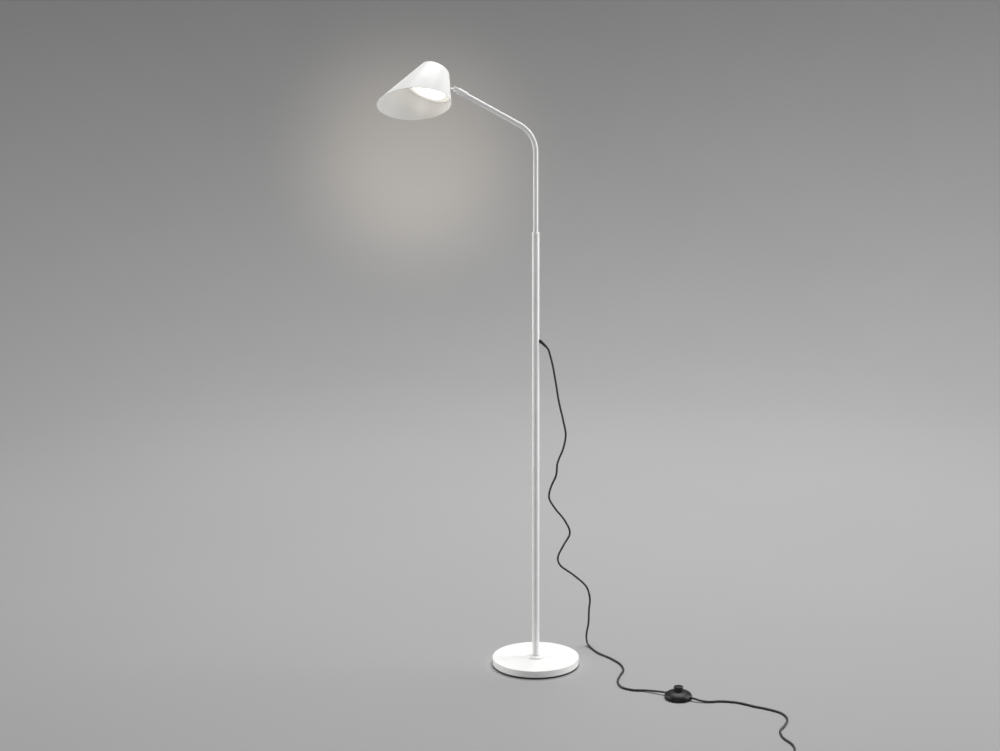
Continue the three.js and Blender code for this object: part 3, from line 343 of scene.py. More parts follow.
# %% [markdown]
# Three small helpers use such a grain: one spreads it between two colours, one between two
# roughnesses, and one presses it into the surface as a bump of a given depth.

# %% Helpers that use a grain
def tint(finish, pattern, low, high):
    nodes = finish.node_tree.nodes
    ramp = nodes.new("ShaderNodeValToRGB")
    ramp.color_ramp.elements[0].position = 0.3
    ramp.color_ramp.elements[0].color = (*low, 1)
    ramp.color_ramp.elements[1].position = 0.7
    ramp.color_ramp.elements[1].color = (*high, 1)
    finish.node_tree.links.new(pattern, ramp.inputs["Fac"])
    finish.node_tree.links.new(ramp.outputs["Color"], shader_of(finish).inputs["Base Color"])


def sheen_change(finish, pattern, low, high):
    spread = finish.node_tree.nodes.new("ShaderNodeMapRange")
    spread.inputs["From Min"].default_value = 0.3
    spread.inputs["From Max"].default_value = 0.7
    spread.inputs["To Min"].default_value = low
    spread.inputs["To Max"].default_value = high
    finish.node_tree.links.new(pattern, spread.inputs["Value"])
    finish.node_tree.links.new(spread.outputs["Result"], shader_of(finish).inputs["Roughness"])


def press(finish, pattern, depth, strength=1.0):
    bump = finish.node_tree.nodes.new("ShaderNodeBump")
    bump.inputs["Distance"].default_value = depth
    bump.inputs["Strength"].default_value = strength
    finish.node_tree.links.new(pattern, bump.inputs["Height"])
    earlier = shader_of(finish).inputs["Normal"].links
    if earlier:
        finish.node_tree.links.new(earlier[0].from_socket, bump.inputs["Normal"])
    finish.node_tree.links.new(bump.outputs["Normal"], shader_of(finish).inputs["Normal"])


# %% [markdown]
# ### White powder coat
#
# The base, the tubes and the shade are sprayed with powder that melts into a satin skin. The skin
# has soft ripples about a millimetre across, and it is a little warmer and duller where hands and
# dust have been, which a much wider grain gives.

# %% White powder coat
WHITE = (0.74, 0.74, 0.73)
white_paint = new_finish("white_powder_coat", WHITE, 0.36)
tint(white_paint, grain(white_paint, 60 * MM, 2), (0.72, 0.72, 0.71), (0.76, 0.76, 0.75))
sheen_change(white_paint, grain(white_paint, 25 * MM, 3), 0.32, 0.42)
press(white_paint, grain(white_paint, 1.1 * MM, 2), 0.02 * MM, 0.6)
press(white_paint, grain(white_paint, 0.25 * MM, 2), 0.006 * MM, 0.5)
print(white_paint.name, "has", len(white_paint.node_tree.nodes), "nodes")

# %% [markdown]
# ### Moulded plastics and rubber
#
# Moulded pieces copy the mould's skin. The white collar and the lamp's inner frame are matt with a
# fine spark texture. The switch and the plug are satin black with the same texture and a few dull
# patches from use. The cord's jacket is softer and has faint ripples along its length.

# %% Plastics and rubber
white_plastic = new_finish("white_moulded_plastic", (0.80, 0.80, 0.78), 0.5)
tint(white_plastic, grain(white_plastic, 18 * MM, 2), (0.78, 0.78, 0.76), (0.82, 0.82, 0.80))
press(white_plastic, grain(white_plastic, 0.3 * MM, 3), 0.015 * MM)

black_plastic = new_finish("black_moulded_plastic", (0.006, 0.006, 0.006), 0.42)
shader_of(black_plastic).inputs["Specular IOR Level"].default_value = 0.28
tint(black_plastic, grain(black_plastic, 9 * MM, 4), (0.004, 0.004, 0.004), (0.009, 0.009, 0.009))
sheen_change(black_plastic, grain(black_plastic, 6 * MM, 5), 0.36, 0.52)
press(black_plastic, grain(black_plastic, 0.35 * MM, 3), 0.02 * MM)

black_rubber = new_finish("black_cord_jacket", (0.012, 0.012, 0.012), 0.55)
tint(black_rubber, grain(black_rubber, 14 * MM, 3), (0.009, 0.009, 0.009), (0.017, 0.017, 0.016))
sheen_change(black_rubber, grain(black_rubber, 5 * MM, 3), 0.48, 0.66)
press(black_rubber, grain(black_rubber, 0.6 * MM, 3), 0.03 * MM)

nylon = new_finish("natural_nylon", (0.74, 0.71, 0.62), 0.45)
shader_of(nylon).inputs["Subsurface Weight"].default_value = 0.15
shader_of(nylon).inputs["Subsurface Radius"].default_value = (1.2 * MM, 1.0 * MM, 0.8 * MM)
tint(nylon, grain(nylon, 6 * MM, 2), (0.70, 0.67, 0.58), (0.77, 0.74, 0.66))
press(nylon, grain(nylon, 0.5 * MM, 3), 0.02 * MM)
print("four moulded finishes")

# %% [markdown]
# ### Metals
#
# The hidden fixings are zinc-plated steel with short drawn lines along the turning axis. The base
# weight is raw cast iron, rough as sand. The plug's pins are plated brass and the light's bracket
# is rolled aluminium, whose lines run one way.

# %% Metals
steel = new_finish("zinc_plated_steel", (0.60, 0.60, 0.60), 0.3, 1.0)
sheen_change(steel, grain(steel, 0.8 * MM, 4, (6, 6, 0.6)), 0.22, 0.42)
press(steel, grain(steel, 0.5 * MM, 3, (5, 5, 0.5)), 0.01 * MM)

cast_iron = new_finish("raw_cast_iron", (0.16, 0.155, 0.15), 0.7, 0.9)
tint(cast_iron, grain(cast_iron, 12 * MM, 6), (0.11, 0.105, 0.10), (0.22, 0.20, 0.18))
sheen_change(cast_iron, grain(cast_iron, 3 * MM, 5), 0.55, 0.85)
press(cast_iron, grain(cast_iron, 1.2 * MM, 6), 0.3 * MM)

brass = new_finish("plated_brass", (0.78, 0.74, 0.62), 0.22, 1.0)
sheen_change(brass, grain(brass, 0.7 * MM, 3, (0.4, 5, 5)), 0.15, 0.34)
press(brass, grain(brass, 0.5 * MM, 2, (0.4, 5, 5)), 0.008 * MM)

aluminium = new_finish("rolled_aluminium", (0.78, 0.79, 0.80), 0.35, 1.0)
sheen_change(aluminium, grain(aluminium, 0.6 * MM, 4, (8, 0.3, 8)), 0.26, 0.46)
press(aluminium, grain(aluminium, 0.6 * MM, 3, (8, 0.3, 8)), 0.01 * MM)
print("four metals")

# %% [markdown]
# ### The light
#
# The diffuser is an opal disc that glows evenly and a little warm, and its skin is faintly
# mottled. It is lit by its own emission, which is cheaper to render than lamps behind a real
# translucent sheet. The ring round it is white plastic that lets a little light through; its faint
# emission is painted glow, which also lifts the shade round the lens. The board behind is white
# solder mask with one yellow lit area.

# %% Opal, board and phosphor
opal = new_finish("opal_diffuser", (0.9, 0.88, 0.82), 0.5)
shader_of(opal).inputs["Emission Color"].default_value = (1.0, 0.89, 0.74, 1)
shader_of(opal).inputs["Emission Strength"].default_value = 2.6
tint(opal, grain(opal, 7 * MM, 2), (0.88, 0.86, 0.80), (0.92, 0.90, 0.84))
press(opal, grain(opal, 0.8 * MM, 2), 0.01 * MM)

# Painted glow: the ring's faint emission brightens the shade in the gap round the lens.
painted_glow_ring = new_finish("translucent_white_ring", (0.80, 0.80, 0.78), 0.5)
shader_of(painted_glow_ring).inputs["Emission Color"].default_value = (1.0, 0.91, 0.80, 1)
shader_of(painted_glow_ring).inputs["Emission Strength"].default_value = 0.4
tint(painted_glow_ring, grain(painted_glow_ring, 12 * MM, 2), (0.78, 0.78, 0.76), (0.82, 0.82, 0.80))
press(painted_glow_ring, grain(painted_glow_ring, 0.3 * MM, 3), 0.015 * MM)

circuit_board = new_finish("white_solder_mask", (0.78, 0.78, 0.74), 0.35)
tint(circuit_board, grain(circuit_board, 2.5 * MM, 1), (0.75, 0.75, 0.71), (0.80, 0.80, 0.76))
press(circuit_board, grain(circuit_board, 1.5 * MM, 1), 0.02 * MM)

led_phosphor = new_finish("led_phosphor", (0.82, 0.62, 0.10), 0.4)
tint(led_phosphor, grain(led_phosphor, 1.2 * MM, 2), (0.80, 0.58, 0.08), (0.86, 0.68, 0.16))
press(led_phosphor, grain(led_phosphor, 0.8 * MM, 2), 0.03 * MM)

FINISHES = {
    "white_paint": white_paint, "white_plastic": white_plastic, "black_plastic": black_plastic,
    "black_rubber": black_rubber, "cast_iron": cast_iron, "steel": steel, "brass": brass,
    "aluminium": aluminium, "opal": opal, "circuit_board": circuit_board,
    "led_phosphor": led_phosphor, "nylon": nylon,
}
print(len(FINISHES), "finishes")

# %% [markdown]
# ## Dressing a piece
#
# Every new piece ends the same way: it gets its finish, rides on the body that carries it, and
# stands for the plain part of the model that it replaces. Its material slot in the record is the
# one that the replaced part had.

# %% Dress a finished piece
slot_of = {part["node"]: part["material_slot"] for part in frame["record"]["subparts"]}


def dress(piece, body, *nodes):
    slot = slot_of[nodes[0]]
    piece.data.materials.clear()
    piece.data.materials.append(FINISHES[slot])
    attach(piece, body)
    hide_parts(*nodes)
    return piece


dress(cord_to_switch, "stand", "cord_upper")
dress(cord_to_plug, "stand", "cord_lower", "cord_coil", "cord_tail")

# %% [markdown]
# ## Modelling helpers
#
# A lathe makes most of this lamp, and Blender's lathe is the spin operator. A pen, one vertex, is
# extruded from point to point to draw half of the section, and the drawing is spun about the
# upright axis. Merging doubles closes the seam and the poles, and then the normals are made to
# point outwards.

# %% Start a piece, select in it, place it
TURNS = 96


def start_piece(name):
    piece = bpy.context.object
    piece.name = name
    piece.data.name = name
    return piece


def choose(piece):
    bpy.ops.object.select_all(action="DESELECT")
    piece.select_set(True)
    bpy.context.view_layer.objects.active = piece


def edit(piece):
    choose(piece)
    bpy.ops.object.mode_set(mode="EDIT")
    bpy.ops.mesh.select_mode(type="VERT")


def leave():
    bpy.ops.object.mode_set(mode="OBJECT")


def pick(piece, kind, test):
    bpy.ops.mesh.select_mode(type="EDGE" if kind == "edges" else "FACE")
    bpy.ops.mesh.select_all(action="DESELECT")
    mesh = bmesh.from_edit_mesh(piece.data)
    for item in getattr(mesh, kind):
        if test(item):
            item.select_set(True)
    bmesh.update_edit_mesh(piece.data)


def place(piece, matrix):
    choose(piece)
    piece.matrix_world = matrix @ piece.matrix_world
    bpy.ops.object.transform_apply(location=True, rotation=True, scale=True)
    return piece


# %% Smooth shading, modifiers and cutting
def soften(piece, angle=30):
    choose(piece)
    bpy.ops.object.shade_smooth_by_angle(angle=radians(angle))
    return piece


def apply_modifier(piece, kind, **settings):
    modifier = piece.modifiers.new(kind.title(), kind)
    for name, value in settings.items():
        setattr(modifier, name, value)
    choose(piece)
    bpy.ops.object.modifier_apply(modifier=modifier.name)
    return piece


def carve(piece, *tools, operation="DIFFERENCE"):
    for tool in tools:
        apply_modifier(piece, "BOOLEAN", object=tool, operation=operation, solver="EXACT")
        bpy.data.objects.remove(tool, do_unlink=True)
    edit(piece)
    bpy.ops.mesh.select_all(action="SELECT")
    bpy.ops.mesh.remove_doubles(threshold=0.01 * MM)
    bpy.ops.mesh.dissolve_degenerate(threshold=0.01 * MM)
    bpy.ops.mesh.delete_loose(use_verts=True, use_edges=True, use_faces=True)
    leave()
    return piece


# %% The lathe
def arc(centre_radius, centre_height, radius, start, end, steps=6):
    points = []
    for step in range(steps + 1):
        angle = radians(start + (end - start) * step / steps)
        points.append((centre_radius + radius * cos(angle), centre_height + radius * sin(angle)))
    return points


def turned(name, outline, turns=TURNS):
    bpy.ops.object.select_all(action="DESELECT")
    bpy.ops.mesh.primitive_plane_add(size=MM)
    piece = start_piece(name)
    edit(piece)
    bpy.ops.mesh.select_all(action="SELECT")
    bpy.ops.mesh.merge(type="CENTER")
    bpy.ops.mesh.select_all(action="SELECT")
    pen = Vector((0, 0, 0))
    for number, (radius, height) in enumerate(outline):
        stroke = Vector((radius, 0, height)) * MM - pen
        if number:
            bpy.ops.mesh.extrude_region_move(TRANSFORM_OT_translate={"value": stroke})
        else:
            bpy.ops.transform.translate(value=stroke)
        pen += stroke
    bpy.ops.mesh.select_all(action="SELECT")
    bpy.ops.mesh.spin(steps=turns, angle=tau, center=(0, 0, 0), axis=(0, 0, 1))
    bpy.ops.mesh.select_all(action="SELECT")
    bpy.ops.mesh.remove_doubles(threshold=0.002 * MM)
    bpy.ops.mesh.normals_make_consistent(inside=False)
    leave()
    return piece


def rod(name, radius, start, end, turns=TURNS):
    bpy.ops.object.select_all(action="DESELECT")
    middle = (start + end) / 2 * MM
    bpy.ops.mesh.primitive_cylinder_add(
        vertices=turns, radius=radius * MM, depth=(end - start) * MM, location=(0, 0, middle))
    return start_piece(name)


def rounded_rod(name, radius, start, end, edge, turns=64):
    piece = rod(name, radius, start, end, turns)
    place(piece, Matrix.Identity(4))
    edit(piece)
    pick(piece, "faces", lambda face: abs(face.normal.z) > 0.9)
    bpy.ops.mesh.bevel(offset=edge * MM, segments=3, affect="EDGES")
    leave()
    return piece


# %% [markdown]
# ## The base
#
# The base cover is a spun steel dish turned upside down over the weight. It starts as a cylinder.
# Its underside is taken away, the hole for the mast's bolt is inset in the top, and a Solidify
# modifier gives the sheet its thickness inwards. The upper edge is left square here, although a
# real spun dish has a small radius there.

# %% Base cover
COVER_WALL = 1.5
BOLT_HOLE = 7.5


def make_base_cover():
    low, high = (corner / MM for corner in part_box("base_cover"))
    cover = rod("base_cover_shell", high.x, low.z, high.z, 160)
    edit(cover)
    pick(cover, "faces", lambda face: face.normal.z < -0.9)
    bpy.ops.mesh.delete(type="FACE")
    pick(cover, "faces", lambda face: face.normal.z > 0.999)
    bpy.ops.mesh.inset(thickness=(high.x - BOLT_HOLE) * MM)
    bpy.ops.mesh.delete(type="FACE")
    leave()
    apply_modifier(cover, "SOLIDIFY", thickness=COVER_WALL * MM, offset=-1)
    print("base cover:", len(cover.data.polygons), "faces")
    return soften(cover, 35)


dress(make_base_cover(), "stand", "base_cover")

# %% [markdown]
# Under the cover lies a thin black foam pad, seen only as a dark line, and the mast stands in a
# low flange. Both are turned. The flange's upper edge is an arc, so light rolls over it.

# %% Pad and flange
def make_base_pad():
    low, high = (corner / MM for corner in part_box("base_pad"))
    edge = 0.8
    outline = [(0, 0), (high.x - edge, 0), *arc(high.x - edge, edge, edge, -90, 0, 4)[1:]]
    outline += [*arc(high.x - edge, high.z - edge, edge, 0, 90, 4), (0, high.z)]
    return soften(turned("base_pad_disc", outline, 160), 40)


def make_flange():
    low, high = (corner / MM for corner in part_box("mast_flange"))
    bore = MAST_RADIUS / MM + 0.15
    edge = 2
    outline = [
        (bore, low.z), (high.x, low.z), *arc(high.x - edge, high.z - edge, edge, 0, 90, 8),
        (bore + 0.3, high.z), (bore, high.z - 0.3), (bore, low.z),
    ]
    return soften(turned("mast_foot_flange", outline), 35)


dress(make_base_pad(), "stand", "base_pad")
flange = dress(make_flange(), "stand", "mast_flange")
print("flange:", len(flange.data.polygons), "faces")

# %% [markdown]
# ## The mast
#
# The lower mast is a plain tube with a hole for the cord. A cylinder without ends is cut across
# above and below the hole, so that the hole's odd faces stay in a short band and the long faces
# keep their clean shading. Solidify gives the wall, and a Boolean modifier drills the hole.

# %% Mast tube
SIDEWAYS = Matrix.Rotation(pi / 2, 4, "Y")  # lays an upright piece along +X
ACROSS = Matrix.Rotation(-pi / 2, 4, "X")  # lays an upright piece along +Y
MAST_WALL = 1.2
CORD_HOLE = 4.8
CORD_HOLE_BAND = 9 * MM


def make_mast():
    bpy.ops.object.select_all(action="DESELECT")
    bpy.ops.mesh.primitive_cylinder_add(
        vertices=TURNS, radius=MAST_RADIUS, depth=MAST_TOP - MAST_FOOT, end_fill_type="NOTHING",
        location=(0, 0, (MAST_TOP + MAST_FOOT) / 2))
    mast = start_piece("mast_lower_tube")
    edit(mast)
    for offset in (-CORD_HOLE_BAND, CORD_HOLE_BAND):
        bpy.ops.mesh.select_all(action="SELECT")
        height = CORD_EXIT_HEIGHT + offset
        bpy.ops.mesh.bisect(plane_co=(0, 0, height), plane_no=(0, 0, 1))
    leave()
    apply_modifier(mast, "SOLIDIFY", thickness=MAST_WALL * MM, offset=-1)
    drill = rod("cord_hole_drill", CORD_HOLE, 0, 2 * MAST_RADIUS / MM, 48)
    carve(mast, place(drill, Matrix.Translation((0, 0, CORD_EXIT_HEIGHT)) @ SIDEWAYS))
    print("mast:", len(mast.data.polygons), "faces")
    return soften(mast, 35)


dress(make_mast(), "stand", "mast_tube")

# %% [markdown]
# The collar closes the mast's upper end and guides the arm tube. It is a moulded white bush with
# a lip that is as wide as the mast. A tiny chamfer under the lip makes the fine dark line where
# the two meet.

# %% Mast collar
ARM_RADIUS = 6.5
COLLAR_LIP = 6
COLLAR_SPIGOT = 18


def make_collar():
    width = MAST_RADIUS / MM
    seat = MAST_TOP / MM
    bore = ARM_RADIUS + 0.2
    spigot = width - MAST_WALL - 0.2
    top = seat + COLLAR_LIP
    edge = 2
    line = 0.45
    outline = [
        (bore, seat - COLLAR_SPIGOT), (spigot, seat - COLLAR_SPIGOT), (spigot, seat + 0.1),
        (width - line, seat + 0.1), (width, seat + line + 0.1),
        *arc(width - edge, top - edge, edge, 0, 90, 8), (bore + 0.3, top), (bore, top - 0.3),
        (bore, seat - COLLAR_SPIGOT),
    ]
    return soften(turned("mast_guide_collar", outline), 35)


collar = dress(make_collar(), "stand", "mast_collar")
print("collar:", len(collar.data.polygons), "faces")

# %% [markdown]
# ## The arm
#
# The arm is one tube, bent in a former. It is drawn the same way: a circle is extruded up the
# mast, spun round the bend's centre and extruded along the rise. The mast's axis and the arm's
# axis cross at the corner, and the bend starts and ends at the same distance from it.

# %% Arm tube
ARM_WALL = 1
ARM_RISE = radians(28.7)
ARM_LENGTH = 229
BEND_RADIUS = 78
ARM_ALONG = Vector((-cos(ARM_RISE), 0, sin(ARM_RISE)))
ARM_CORNER = KNUCKLE_PIN - ARM_ALONG * ARM_LENGTH * MM
BEND_TURN = pi / 2 - ARM_RISE
BEND_TANGENT = BEND_RADIUS * tan(BEND_TURN / 2) * MM
SLEEVE_SEAM = -31.7
SLEEVE_SOCKET = 20
SCREW_STATION = SLEEVE_SEAM + 7


def make_arm_tube():
    bpy.ops.object.select_all(action="DESELECT")
    bpy.ops.mesh.primitive_circle_add(
        vertices=64, radius=ARM_RADIUS * MM, fill_type="NOTHING", location=(0, 0, ARM_FOOT))
    tube = start_piece("arm_bent_tube")
    edit(tube)
    bpy.ops.mesh.select_all(action="SELECT")
    bend_start = ARM_CORNER.z - BEND_TANGENT
    bpy.ops.mesh.extrude_region_move(
        TRANSFORM_OT_translate={"value": (0, 0, bend_start - ARM_FOOT)})
    centre = (-BEND_RADIUS * MM, 0, bend_start)
    bpy.ops.mesh.spin(steps=32, angle=BEND_TURN, center=centre, axis=(0, 1, 0))
    straight = (ARM_LENGTH + SLEEVE_SEAM + SLEEVE_SOCKET) * MM - BEND_TANGENT
    bpy.ops.mesh.extrude_region_move(TRANSFORM_OT_translate={"value": ARM_ALONG * straight})
    bpy.ops.mesh.select_all(action="SELECT")
    bpy.ops.mesh.remove_doubles(threshold=0.002 * MM)
    bpy.ops.mesh.normals_make_consistent(inside=False)
    leave()
    tube.data.update()
    apply_modifier(tube, "SOLIDIFY", thickness=ARM_WALL * MM, offset=-1)
    print("arm tube:", len(tube.data.polygons), "faces")
    return soften(tube, 35)


dress(make_arm_tube(), "arm", "arm_tube")

# %% [markdown]
# The sleeve caps the arm. It is a short thicker tube with a slot at its end, so that its two
# cheeks hold the knuckle on a pin. The end face is upright, which means that it cuts the sleeve
# at a slant: a bisect with the lower part kept makes the cut and fills it. Its corners are then
# bevelled, as the real ones are tumbled smooth, and the slot, the pin's hole and the socket are
# carved with Booleans.

# %% Arm sleeve
SLEEVE_RADIUS = 8
MITRE_OFFSET = 4.3
FORK_GAP = 9
FORK_DEPTH = 6
PIN_RADIUS = 2
SLEEVE_PLACE = Matrix.Translation(KNUCKLE_PIN) @ Matrix.Rotation(ARM_RISE - pi / 2, 4, "Y")


def block(name, size, centre):
    bpy.ops.object.select_all(action="DESELECT")
    bpy.ops.mesh.primitive_cube_add(size=1, location=Vector(centre) * MM)
    piece = start_piece(name)
    piece.scale = Vector(size) * MM
    bpy.ops.object.transform_apply(location=True, rotation=True, scale=True)
    return piece


def make_sleeve():
    sleeve = rod("arm_end_sleeve", SLEEVE_RADIUS, SLEEVE_SEAM, 20, 64)
    place(sleeve, Matrix.Identity(4))
    edit(sleeve)
    seam = (SLEEVE_SEAM + 0.01) * MM
    pick(sleeve, "edges", lambda edge: all(vert.co.z < seam for vert in edge.verts))
    bpy.ops.mesh.bevel(offset=0.6 * MM, segments=3, affect="EDGES")
    bpy.ops.mesh.select_all(action="SELECT")
    upright = Vector((-sin(ARM_RISE), 0, cos(ARM_RISE)))
    bpy.ops.mesh.bisect(
        plane_co=(0, 0, MITRE_OFFSET * MM), plane_no=upright, use_fill=True, clear_outer=True)
    pick(sleeve, "faces", lambda face: face.normal.dot(upright) > 0.999)
    bpy.ops.mesh.bevel(offset=1.3 * MM, segments=5, affect="EDGES")
    leave()
    reach = SLEEVE_RADIUS * 5
    slot_middle = (reach - FORK_DEPTH) / 2
    slot = block("fork_slot", (reach, FORK_GAP, FORK_DEPTH + reach), (0, 0, slot_middle))
    socket = rod("socket_bore", ARM_RADIUS + 0.1, SLEEVE_SEAM - 1, SLEEVE_SEAM + 20.3, 64)
    lead_way = rod("lead_bore", CORD_RADIUS / MM + 0.3, SLEEVE_SEAM, 0, 32)
    pin_hole = place(rod("pin_bore", PIN_RADIUS + 0.05, -20, 20, 48), ACROSS)
    screw_hole = place(rod("screw_bore", 1.55, -20, 0, 32), SIDEWAYS)
    place(screw_hole, Matrix.Translation((0, 0, SCREW_STATION * MM)))
    carve(sleeve, slot, socket, lead_way, pin_hole, screw_hole)
    print("sleeve:", len(sleeve.data.polygons), "faces")
    return soften(place(sleeve, SLEEVE_PLACE), 32)


dress(make_sleeve(), "arm", "arm_sleeve")

# %% [markdown]
# The pin is a short steel rod whose ends are rounded. The grub screw that holds the sleeve has
# a hexagon socket, inset and pushed in.

# %% Knuckle pin and grub screw
def make_pin():
    half = sqrt(SLEEVE_RADIUS**2 - PIN_RADIUS**2) - 0.3
    pin = rounded_rod("knuckle_pin_rod", PIN_RADIUS, -half, half, 0.4, 48)
    return soften(place(pin, SLEEVE_PLACE @ ACROSS), 35)


def make_grub_screw():
    screw = rod("sleeve_grub_screw", 1.5, ARM_RADIUS + 0.3, SLEEVE_RADIUS - 0.3, 48)
    key = rod("hexagon_key", 0.85, SLEEVE_RADIUS - 1.1, SLEEVE_RADIUS + 1, 6)
    carve(screw, key)
    around = Matrix.Rotation(pi, 4, "Z") @ SIDEWAYS
    seat = Matrix.Translation((0, 0, SCREW_STATION * MM))
    return soften(place(screw, SLEEVE_PLACE @ seat @ around), 35)


dress(make_pin(), "arm", "knuckle_pin")
dress(make_grub_screw(), "arm", "sleeve_screw")
print("pin and screw")

# %% [markdown]
# ## The knuckle
#
# The knuckle is a small turned link. Its flat eye sits between the sleeve's cheeks, and its stem
# passes through the shade's wall. Three bevelled cylinders and a flat-sided bar are joined with
# Boolean unions, then the pin's hole and the lead's way are bored.

# %% Knuckle
EYE_RADIUS = 4.6
EYE_WIDTH = 7.4
STEM_RADIUS = 4.4
NECK_RADIUS = 3.5
STEM_REACH = 13.3
WALL_GAP = 0.8
SHOULDER = STEM_REACH - WALL_GAP - 1
NECK_END = 24.31
STEM_BORE = 2.2
STEM_PLACE = Matrix.Translation(KNUCKLE_PIN)


def make_knuckle():
    backwards = Matrix.Rotation(-pi / 2, 4, "Y")
    half = EYE_WIDTH / 2
    eye = place(rounded_rod("knuckle_link", EYE_RADIUS, -half, half, 0.5), ACROSS)
    stem = place(rod("knuckle_stem", STEM_RADIUS, 0, SHOULDER, 64), backwards)
    flats = block("stem_flats", (60, EYE_WIDTH, 60), (0, 0, 0))
    carve(stem, flats, operation="INTERSECT")
    shoulder = rounded_rod("stem_shoulder", STEM_RADIUS, SHOULDER - 3, SHOULDER, 0.4)
    place(shoulder, backwards)
    neck = rounded_rod("stem_neck", NECK_RADIUS, SHOULDER - 1, NECK_END, 0.5)
    place(neck, backwards)
    carve(eye, stem, shoulder, neck, operation="UNION")
    lead_way = place(rod("stem_bore", STEM_BORE, EYE_RADIUS - 1, NECK_END + 1, 32), backwards)
    mouth = rod("stem_mouth", STEM_BORE, -10, 0, 32)
    place(mouth, Matrix.Translation((-(EYE_RADIUS + 1) * MM, 0, 0)))
    pin_hole = place(rod("eye_bore", PIN_RADIUS + 0.05, -20, 20, 48), ACROSS)
    carve(eye, lead_way, mouth, pin_hole)
    print("knuckle:", len(eye.data.polygons), "faces")
    return soften(place(eye, STEM_PLACE), 32)


dress(make_knuckle(), "knuckle", "knuckle")

# %% [markdown]
# ## The shade
#
# The shade is a spun aluminium cone with a rounded crown, cut by a slanting plane so that the back
# is short and the front reaches out. Its section is drawn with the crown's arc and the corner
# arc that joins crown and wall, and is spun. A bisect makes the slanting rim. The wall's
# thickness comes from Solidify, after the normals are right, and its rim is rounded.
#
# The shade's own frame has its origin at the cone's tip and +Z along the cone towards the opening.
# That frame leans outwards from the stem, and the stem is rolled about its own axis.

# %% Frames of the head
HEAD_ROLL = radians(-30.75)
HALF_ANGLE = radians(24.6)
SHADE_LEAN = radians(19.5)
STEM_SLANT = 131.6
WALL_TILT = HALF_ANGLE - SHADE_LEAN
APEX = Vector((-STEM_REACH - STEM_SLANT * sin(WALL_TILT), 0, STEM_SLANT * cos(WALL_TILT))) * MM
HEAD_PLACE = STEM_PLACE @ Matrix.Rotation(HEAD_ROLL, 4, "X")
CONE_PLACE = HEAD_PLACE @ Matrix.Translation(APEX) @ Matrix.Rotation(pi + SHADE_LEAN, 4, "Y")
print("the light points along", [round(v, 3) for v in CONE_PLACE.to_3x3().col[2]])

# %% Shade
SHADE_WALL = 1.2
CROWN_TOP = 67.5
CROWN_RADIUS = 66
CROWN_EDGE = 9
RIM_BACK = 152.6
RIM_FRONT = 224.3


def crown_corner():
    """The corner arc's centre: as far inside the cone's wall as inside the crown."""
    low, high = CROWN_TOP, CROWN_TOP + CROWN_RADIUS
    for _ in range(40):
        middle = (low + high) / 2
        sideways = (middle * sin(HALF_ANGLE) - CROWN_EDGE) / cos(HALF_ANGLE)
        if hypot(middle - CROWN_TOP - CROWN_RADIUS, sideways) > CROWN_RADIUS - CROWN_EDGE:
            low = middle
        else:
            high = middle
    return sideways, middle


def make_shade():
    corner_radius, corner_station = crown_corner()
    wide = RIM_FRONT + 12
    crown_centre = CROWN_TOP + CROWN_RADIUS
    meeting = degrees(atan2(corner_station - crown_centre, corner_radius))
    outline = [(wide * tan(HALF_ANGLE), wide)]
    outline += arc(corner_radius, corner_station, CROWN_EDGE, -degrees(HALF_ANGLE), meeting, 10)
    outline += arc(0, crown_centre, CROWN_RADIUS, meeting, -90, 16)[1:]
    outline.reverse()
    shade = turned("spun_shade", outline, 160)
    back = Vector((-RIM_BACK * tan(HALF_ANGLE), 0, RIM_BACK)) * MM
    front = Vector((RIM_FRONT * tan(HALF_ANGLE), 0, RIM_FRONT)) * MM
    rim = front - back
    outwards = Vector((-rim.z, 0, rim.x)).normalized()
    edit(shade)
    bpy.ops.mesh.select_all(action="SELECT")
    bpy.ops.mesh.bisect(plane_co=back, plane_no=outwards, clear_outer=True)
    bpy.ops.mesh.select_all(action="SELECT")
    bpy.ops.mesh.normals_make_consistent(inside=False)
    leave()
    return shade, outwards, back


# %% [markdown]
# An open shell has no inside of its own, so Blender may turn its normals either way. The wall
# must grow inwards, so the direction is tested on one face of the crown and flipped if needed.

# %% Give the shade its wall, rim and hole
def finish_shade():
    shade, outwards, back = make_shade()
    crown = min(shade.data.polygons, key=lambda face: face.center.z)
    if crown.normal.z > 0:
        shade.data.flip_normals()
    apply_modifier(shade, "SOLIDIFY", thickness=SHADE_WALL * MM, offset=-1, use_even_offset=True)
    edit(shade)
    pick(shade, "edges", lambda edge: is_rim_corner(edge, outwards, back))
    bpy.ops.mesh.bevel(offset=0.4 * MM, segments=3, affect="EDGES")
    leave()
    hole = rod("stem_hole", NECK_RADIUS + 0.3, STEM_REACH - 4, STEM_REACH + 8, 48)
    into_cone = CONE_PLACE.inverted() @ HEAD_PLACE
    carve(shade, place(hole, into_cone @ Matrix.Rotation(-pi / 2, 4, "Y")))
    print("shade:", len(shade.data.polygons), "faces")
    return soften(place(shade, CONE_PLACE), 35)


def is_rim_corner(edge, outwards, back):
    """True for the edges that run round the rim, on the outer or the inner wall."""
    near = all(abs((vert.co - back).dot(outwards)) < 0.9 * MM for vert in edge.verts)
    if not near or len(edge.link_faces) != 2:
        return False
    return abs(edge.link_faces[0].normal.dot(edge.link_faces[1].normal)) < 0.8


dress(finish_shade(), "head", "shade")

# %% [markdown]
# ## The light inside
#
# A shallow opal dome glows in the shade. A slim ring clips it to the reflector. All three are
# turned about the cone's axis, and follow the model's sizes.

# %% Diffuser, ring and reflector
LENS_STATION = 134
LENS_RADIUS = 48
LENS_FACE = LENS_STATION + 2
LENS_CROWN = 4


